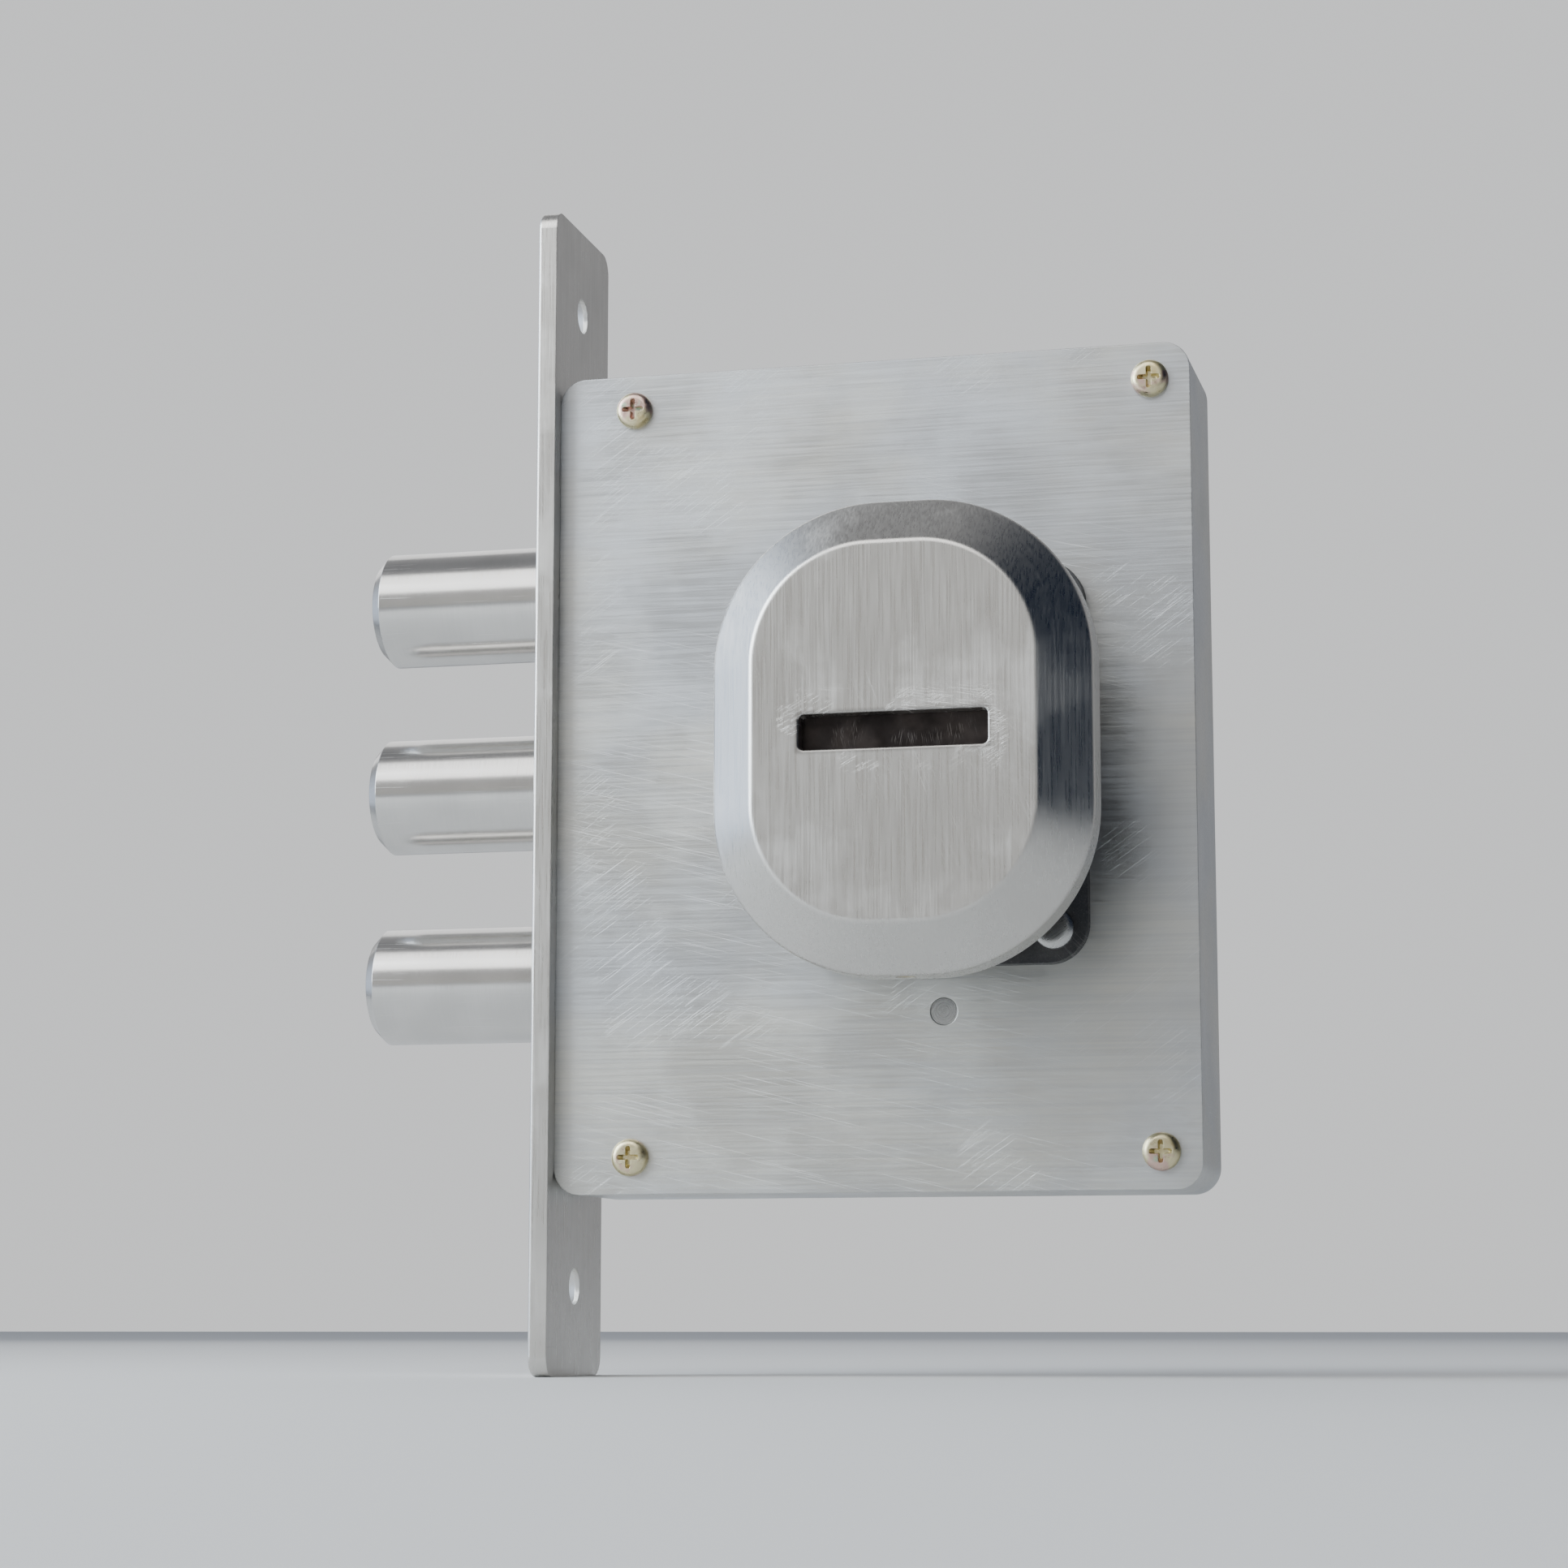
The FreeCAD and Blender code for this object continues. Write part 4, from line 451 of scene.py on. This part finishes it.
NICKEL_TONE, NICKEL_GLOSS = (0.66, 0.65, 0.63), 0.17
STEEL_TONE, STEEL_GLOSS = (0.50, 0.50, 0.49), 0.28
TURNED_ABOUT_X = ("top_bolt", "middle_bolt", "bottom_bolt", "forend_rivets")
STEEL_NODES = (
    "bolt_stump",
    "case_pillars",
    "lever_posts",
    "upper_guide_post",
    "lower_guide_post",
    "forend_rivets",
    "hard_plate_rivets",
    "transfer_wheel",
    "transfer_pinion",
    "outer_nuts",
    "inner_nuts",
    "flap_rivet",
)


def paint_turned(name, finish, tone, gloss):
    """Paints a node with steel that was turned about the middle of the node's box."""
    low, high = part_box(name)
    middle = (low + high) / 2
    axis = "x" if name in TURNED_ABOUT_X else "y"
    across = middle.y if axis == "x" else middle.x
    paint(turned_steel(f"{name}_{finish}", axis, (across, middle.z), tone, gloss), name)


def paint_cad_nodes():
    levers = [f"lever_{index}" for index in range(1, 6)]
    springs = [f"lever_spring_{index}" for index in range(1, 6)]
    paint(satin_nickel(), "outer_cover", "inner_cover", "inner_flap", "forend")
    paint(zinc_sheet(), "case_body", "case_cover", "inner_base", "divider_plate", "bolt_carriage")
    paint(armour_steel(), "outer_base", "hard_plate", "key_gear")
    paint(blackened_steel(), "outer_shutter")
    paint(
        yellow_zinc(),
        "outer_screws",
        "inner_screws",
        "cover_screws",
        "carriage_screws",
        "outer_grub_screw",
        "inner_grub_screw",
    )
    paint(spring_wire(), "shutter_springs", "detent_spring", *springs)
    paint(lever_brass(), *levers)
    for name in ("top_bolt", "middle_bolt", "bottom_bolt"):
        paint_turned(name, "nickel", NICKEL_TONE, NICKEL_GLOSS)
    for name in STEEL_NODES:
        paint_turned(name, "steel", STEEL_TONE, STEEL_GLOSS)


# ---------------------------------------------------------------- screws, rivets, springs and welds

SEGMENTS = 48
SHARP = math.radians(32)
FIXING_SCREW = {
    "radius": 2.5 * MM,
    "pitch": 0.8 * MM,
    "point": 0.5 * MM,
    "head": 4.6 * MM,
    "sink": 2.4 * MM,
    "rim": 0.3 * MM,
    "rim_bevel": 0.1 * MM,
    "outer_shank": 8 * MM,
    "inner_shank": 3 * MM,
}
COVER_SCREW = {
    "radius": 1.5 * MM,
    "pitch": 0.5 * MM,
    "point": 0.4 * MM,
    "head": 2.8 * MM,
    "head_height": 1.5 * MM,
    "shank": MM,
}
SOCKET = {"corner": 1.75 * MM, "depth": 1.8 * MM, "lead": 0.2 * MM}
CROSS = {"reach": 1.7 * MM, "half_width": 0.38 * MM, "depth": 0.95 * MM}
CROSS_TAPER = {"reach": 0.6, "half_width": 0.7}
HARD_RIVET = {"head": 3 * MM, "neck": 2 * MM, "flat": 0.4}
# A thread's groove: its depth in pitches, how steep its flanks are, and how wide its crest is.
THREAD = {"depth": 0.6, "flank": 1.3, "crest": 0.15, "steps": 8}
COIL = {"radius": 0.55 * MM, "wire": 0.2 * MM, "turns": 8, "steps": 24, "sides": 12}
COIL_GROUND = 0.4 * COIL["wire"]
NUT_RADIUS = 4.5 * MM
WELD = {
    "thickness": 0.75 * MM,
    "flattening": 0.8,
    "ripples": 26,
    "ripple": 0.10,
    "sway": 0.08,
    "sway_shift": 900,
    "sides": 12,
}


def evenly(radius):
    return [radius] * SEGMENTS


def hexagon(radius):
    """The radii of a hexagon's outline whose corners are this far from its middle."""
    apothem = radius * math.cos(TURN / 12)
    side = TURN / 6
    angles = [TURN * step / SEGMENTS for step in range(SEGMENTS)]
    return [apothem / math.cos(angle % side - side / 2) for angle in angles]


def cross(reach, half_width):
    """The radii of a cross recess's outline."""
    radii = []
    for step in range(SEGMENTS):
        folded = abs((TURN * step / SEGMENTS + TURN / 8) % (TURN / 4) - TURN / 8)
        side = half_width / max(math.sin(folded), half_width / reach)
        radii.append(min(reach / math.cos(folded), side))
    return radii


def thread(radius, pitch, start, end):
    """Rings of a screw thread from start to end along Y, with its depth run out at both ends."""
    way = 1 if end > start else -1
    steps = THREAD["steps"]
    count = round(abs(end - start) / pitch * steps)
    rings = []
    for index in range(count + 1):
        turns = index / steps
        room = min(turns, count / steps - turns, 1.0)
        radii = []
        for step in range(SEGMENTS):
            phase = (turns - way * step / SEGMENTS) % 1.0
            flank = THREAD["flank"] * abs(2 * phase - 1) - THREAD["crest"]
            groove = min(max(flank, 0.0), 1.0)
            radii.append(radius - THREAD["depth"] * pitch * groove * room)
        rings.append((start + way * index * pitch / steps, radii))
    return rings


def mesh_piece(name, points, faces, material):
    """A smooth mesh of points and faces, as a piece that rides on the lock's fixed body."""
    mesh = bpy.data.meshes.new(name)
    mesh.from_pydata(points, [], faces)
    mesh.shade_smooth()
    mesh.materials.append(material)
    made = bpy.data.objects.new(name, mesh)
    bpy.context.scene.collection.objects.link(made)
    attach(made, "lock_body")
    return made


def turned_piece(name, centre, rings, material, slot, node_name):
    """A closed piece of rings round a line along Y, each with its y and a radius at each angle."""
    points = []
    for y, radii in rings:
        for step, radius in enumerate(radii):
            angle = TURN * step / SEGMENTS
            x = centre[0] + radius * math.cos(angle)
            points.append((x, y, centre[1] + radius * math.sin(angle)))
    loops = [range(index * SEGMENTS, (index + 1) * SEGMENTS) for index in range(len(rings))]
    faces = [tuple(loops[0]), tuple(loops[-1])[::-1]]
    for one, after in zip(loops, loops[1:]):
        for step in range(SEGMENTS):
            following = (step + 1) % SEGMENTS
            faces.append((one[following], one[step], after[step], after[following]))
    if rings[-1][0] < rings[0][0]:
        faces = [face[::-1] for face in faces]
    made = mesh_piece(name, points, faces, material)
    made.data.set_sharp_from_angle(angle=SHARP)
    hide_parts(node_name)
    return made


def socket_rings(face, inward):
    """The hexagon socket's rings, from its rim down to its floor; inward is 1 or -1 along Y."""
    corner, lead = SOCKET["corner"], SOCKET["lead"]
    return [
        (face, hexagon(corner + lead)),
        (face + inward * lead, hexagon(corner)),
        (face + inward * SOCKET["depth"], hexagon(corner)),
    ]


def dome(radius, base, face, flat=0.62):
    """Rings of a rounded head from base to face, where flat is the share that stays level."""
    wall, steps = 0.35, 6
    rings = [(base, evenly(radius))]
    for step in range(steps + 1):
        angle = TURN / 4 * step / steps
        reach = radius * (flat + (1 - flat) * math.cos(angle))
        rise = wall + (1 - wall) * math.sin(angle)
        rings.append((base + (face - base) * rise, evenly(reach)))
    return rings


def fixing_screws(material):
    """The two countersunk screws outside and the two pan-head screws inside, with real threads."""
    screw = FIXING_SCREW
    radius, pitch, point, head = [screw[key] for key in ("radius", "pitch", "point", "head")]
    finish = (material, "zinc_screw")
    low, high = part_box("outer_screws")
    under_head = low.y + screw["sink"]
    for label, z in (("lower", low.z + head), ("upper", high.z - head)):
        rings = [
            (high.y, evenly(radius - point)),
            *thread(radius, pitch, high.y - point, under_head + screw["outer_shank"]),
            (under_head, evenly(radius)),
            (low.y + screw["rim"], evenly(head)),
            (low.y, evenly(head - screw["rim_bevel"])),
            *socket_rings(low.y, 1),
        ]
        turned_piece(f"outer_fixing_{label}", (0, z), rings, *finish, "outer_screws")
    low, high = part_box("inner_screws")
    under_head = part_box("inner_base")[1].y
    for label, z in (("lower", low.z + head), ("upper", high.z - head)):
        rings = [
            (low.y, evenly(radius - point)),
            *thread(radius, pitch, low.y + point, under_head - screw["inner_shank"]),
            (under_head, evenly(radius)),
            *dome(head, under_head, high.y),
            *socket_rings(high.y, -1),
        ]
        turned_piece(f"inner_fixing_{label}", (0, z), rings, *finish, "inner_screws")


def corners_of(name, inset):
    """The middles, in X and Z, of the four round heads at the corners of a node's box."""
    low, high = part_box(name)
    across, up = (low.x + inset, high.x - inset), (low.z + inset, high.z - inset)
    return [(x, z) for x in across for z in up]


def cover_screws(material):
    """Pan-head screws with a tapered cross recess at the case cover's corners."""
    screw = COVER_SCREW
    radius, pitch, point, head = [screw[key] for key in ("radius", "pitch", "point", "head")]
    low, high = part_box("cover_screws")
    seat = low.y + screw["head_height"]
    wide = cross(CROSS["reach"], CROSS["half_width"])
    narrow = cross(*[CROSS[key] * CROSS_TAPER[key] for key in ("reach", "half_width")])
    for index, centre in enumerate(corners_of("cover_screws", head)):
        rings = [
            (high.y, evenly(radius - point)),
            *thread(radius, pitch, high.y - point, seat + screw["shank"]),
            (seat, evenly(radius)),
            *dome(head, seat, low.y),
            (low.y, wide),
            (low.y + CROSS["depth"], narrow),
        ]
        name = f"cover_fixing_{index + 1}"
        turned_piece(name, centre, rings, material, "zinc_screw", "cover_screws")


def hard_rivets(material):
    """Rivets with round heads on the hardened plate."""
    low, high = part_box("hard_plate_rivets")
    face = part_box("hard_plate")[0].y
    head, neck, flat = HARD_RIVET["head"], HARD_RIVET["neck"], HARD_RIVET["flat"]
    for index, centre in enumerate(corners_of("hard_plate_rivets", head)):
        rings = [(high.y, evenly(neck)), (face, evenly(neck)), *dome(head, face, low.y, flat)]
        name = f"hard_rivet_{index + 1}"
        turned_piece(name, centre, rings, material, "bright_steel", "hard_plate_rivets")


def coil_path(centre, low, high):
    """The middle of a spring's wire, with one closed turn at each end and even turns between."""
    turns, wire = COIL["turns"], COIL["wire"]
    rows = turns * COIL["steps"]
    open_turns = turns - 2.0
    open_rise = high - low - 2 * COIL_GROUND - 4 * wire
    path = []
    for row in range(rows + 1):
        turn = turns * row / rows
        closed = min(turn, 1.0) + max(turn - turns + 1.0, 0.0)
        rise = 2 * wire * closed + open_rise * min(max(turn - 1.0, 0.0), open_turns) / open_turns
        spot = Vector((math.cos(TURN * turn), math.sin(TURN * turn), 0)) * COIL["radius"]
        path.append(spot + Vector((*centre, low + COIL_GROUND + rise)))
    return path


def coil_spring(name, centre, low, high, material):
    """A compression spring along Z between two heights, with its ends ground flat."""
    path = coil_path(centre, low, high)
    around, last = COIL["sides"], len(path) - 1
    points, faces = [], []
    for row, spot in enumerate(path):
        way = (path[min(row + 1, last)] - path[max(row - 1, 0)]).normalized()
        outward = Vector((spot.x - centre[0], spot.y - centre[1], 0)).normalized()
        upward = outward.cross(way)
        for step in range(around):
            angle = TURN * step / around
            point = spot + (outward * math.cos(angle) + upward * math.sin(angle)) * COIL["wire"]
            point.z = min(max(point.z, low), high)
            points.append(point)
            if row < last:
                up = (step + 1) % around
                here, after = row * around, (row + 1) * around
                faces.append((here + step, here + up, after + up, after + step))
    faces.append(tuple(range(around))[::-1])
    faces.append(tuple(range(last * around, (last + 1) * around)))
    return mesh_piece(name, points, faces, material)


def shutter_coils(material):
    """The two springs under the shutter, each built at one fixed length with a mesh of its own."""
    low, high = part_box("shutter_springs")
    reach = COIL["radius"] + COIL["wire"]
    for side, x in (("left", low.x + reach), ("right", high.x - reach)):
        centre = (x, (low.y + high.y) / 2)
        made = coil_spring(f"shutter_coil_{side}", centre, low.z, high.z, material)
        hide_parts("shutter_springs")
        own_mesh(made)


def weld_bead(name, centre, level, away, material):
    """A rippled bead of weld round a nut's foot on its plate; away is the nut's side, 1 or -1."""
    ripples, around, thickness = WELD["ripples"], WELD["sides"], WELD["thickness"]
    phase = centre[1] * WELD["sway_shift"]
    rows = 4 * ripples
    points, faces = [], []
    for row in range(rows):
        angle = TURN * row / rows
        ripple = WELD["ripple"] * math.cos(ripples * angle)
        swell = 1 + ripple + WELD["sway"] * math.sin(3 * angle + phase)
        for step in range(around):
            turn = TURN * step / around
            reach = NUT_RADIUS + thickness * swell * math.cos(turn)
            y = level + away * thickness * swell * math.sin(turn) * WELD["flattening"]
            x = centre[0] + reach * math.cos(angle)
            points.append((x, y, centre[1] + reach * math.sin(angle)))
            right, up = (row + 1) % rows * around, (step + 1) % around
            faces.append((row * around + step, right + step, right + up, row * around + up))
    if away > 0:
        faces = [face[::-1] for face in faces]
    mesh_piece(name, points, faces, material)


def nut_welds(material):
    for side, plate_edge, away in (("outer", 1, -1), ("inner", 0, 1)):
        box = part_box(f"{side}_nuts")
        face = box[plate_edge].y
        for label, z in (("lower", box[0].z + NUT_RADIUS), ("upper", box[1].z - NUT_RADIUS)):
            weld_bead(f"{side}_weld_{label}", (0, z), face, away, material)


def detail_pieces():
    screw_finish = bpy.data.materials["yellow_zinc"]
    fixing_screws(screw_finish)
    cover_screws(screw_finish)
    hard_rivets(bpy.data.materials["hard_plate_rivets_steel"])
    nut_welds(weld_steel())
    shutter_coils(bpy.data.materials["spring_wire"])


# ---------------------------------------------------------------- stage


FLOOR_HALF = 4.0
FLOOR_TONE, FLOOR_ROUGHNESS = rgb(0.72, 0.72, 0.71), 0.75


def floor():
    """A wide pale floor at the height of the forend's foot."""
    half, level = FLOOR_HALF, CAD_BOX[0].z
    mesh = bpy.data.meshes.new("floor")
    corners = [(-half, -half), (half, -half), (half, half), (-half, half)]
    mesh.from_pydata([(x, y, level) for x, y in corners], [], [(0, 1, 2, 3)])
    made = bpy.data.objects.new("floor", mesh)
    bpy.context.scene.collection.objects.link(made)
    material = bpy.data.materials.new("floor")
    material.use_nodes = True
    shader = material.node_tree.nodes["Principled BSDF"]
    shader.inputs["Base Color"].default_value = FLOOR_TONE
    shader.inputs["Roughness"].default_value = FLOOR_ROUGHNESS
    mesh.materials.append(material)


def softbox(name, spot, aim, size, watts, tint=(1.0, 1.0, 1.0)):
    light = bpy.data.lights.new(name, "AREA")
    light.shape = "SQUARE"
    light.size = size
    light.energy = watts
    light.color = tint
    made = bpy.data.objects.new(name, light)
    bpy.context.scene.collection.objects.link(made)
    made.location = spot
    made.rotation_mode = "QUATERNION"
    made.rotation_quaternion = (Vector(aim) - Vector(spot)).to_track_quat("-Z", "Y")


def surroundings():
    """A plain room as metal mirrors it: a window on the left, dim on the right, a wall behind."""
    level_view, overhead = rgb(0.60, 0.59, 0.57), rgb(0.28, 0.285, 0.30)
    window, shade, wall = rgb(1.62, 1.95, 2.50), rgb(0.010, 0.019, 0.040), rgb(0.40, 0.405, 0.42)
    backdrop = rgb(0.83, 0.84, 0.85)
    world = bpy.data.worlds.new("studio")
    world.use_nodes = True
    bpy.context.scene.world = world
    tree = world.node_tree
    split = tree.nodes.new("ShaderNodeSeparateXYZ")
    tree.links.new(node(tree, "TexCoord", output=0), split.inputs[0])
    x, y, z = split.outputs[0], split.outputs[1], split.outputs[2]
    front = blend(tree, fade(tree, z, 0.0, 0.8), level_view, overhead)
    left = blend(tree, fade(tree, x, -0.92, -0.45), window, front)
    sides = blend(tree, fade(tree, x, -0.1, 0.6), left, shade)
    room = blend(tree, fade(tree, y, 0.0, 0.6), sides, wall)
    seen = node(tree, "LightPath", output=0)
    background = tree.nodes["Background"]
    tree.links.new(blend(tree, seen, room, backdrop), background.inputs["Color"])


EYE_TURN, EYE_TILT = math.radians(11.8), math.radians(-9.3)
EYE_DISTANCE = 0.51
LENS_LENGTH, SENSOR_WIDTH, NEAREST = 82, 36, 0.01


def camera():
    """An eye a little to the right of the escutcheon and below it, just above the floor."""
    lens = bpy.data.cameras.new("camera")
    lens.lens, lens.sensor_width = LENS_LENGTH, SENSOR_WIDTH
    lens.clip_start = NEAREST
    level = math.cos(EYE_TILT)
    back = Vector((math.sin(EYE_TURN) * level, -math.cos(EYE_TURN) * level, math.sin(EYE_TILT)))
    made = bpy.data.objects.new("camera", lens)
    bpy.context.scene.collection.objects.link(made)
    made.location = back * EYE_DISTANCE
    middle = (CAD_BOX[0] + CAD_BOX[1]) / 2
    made.rotation_mode = "QUATERNION"
    made.rotation_quaternion = (middle - made.location).to_track_quat("-Z", "Y")
    bpy.context.scene.camera = made


def stage():
    floor()
    surroundings()
    softbox("key_light", (-0.8, -0.45, 0.40), (0, 0, 0), 0.7, 13, (0.88, 0.95, 1.0))
    softbox("fill_light", (-0.25, -0.80, 0.85), (0, 0.03, 0), 0.8, 6)
    softbox("back_light", (-0.55, 0.90, 0.70), (0, 0.03, 0), 0.8, 2.5)
    camera()


def main():
    paint_cad_nodes()
    detail_pieces()
    stage()


main()
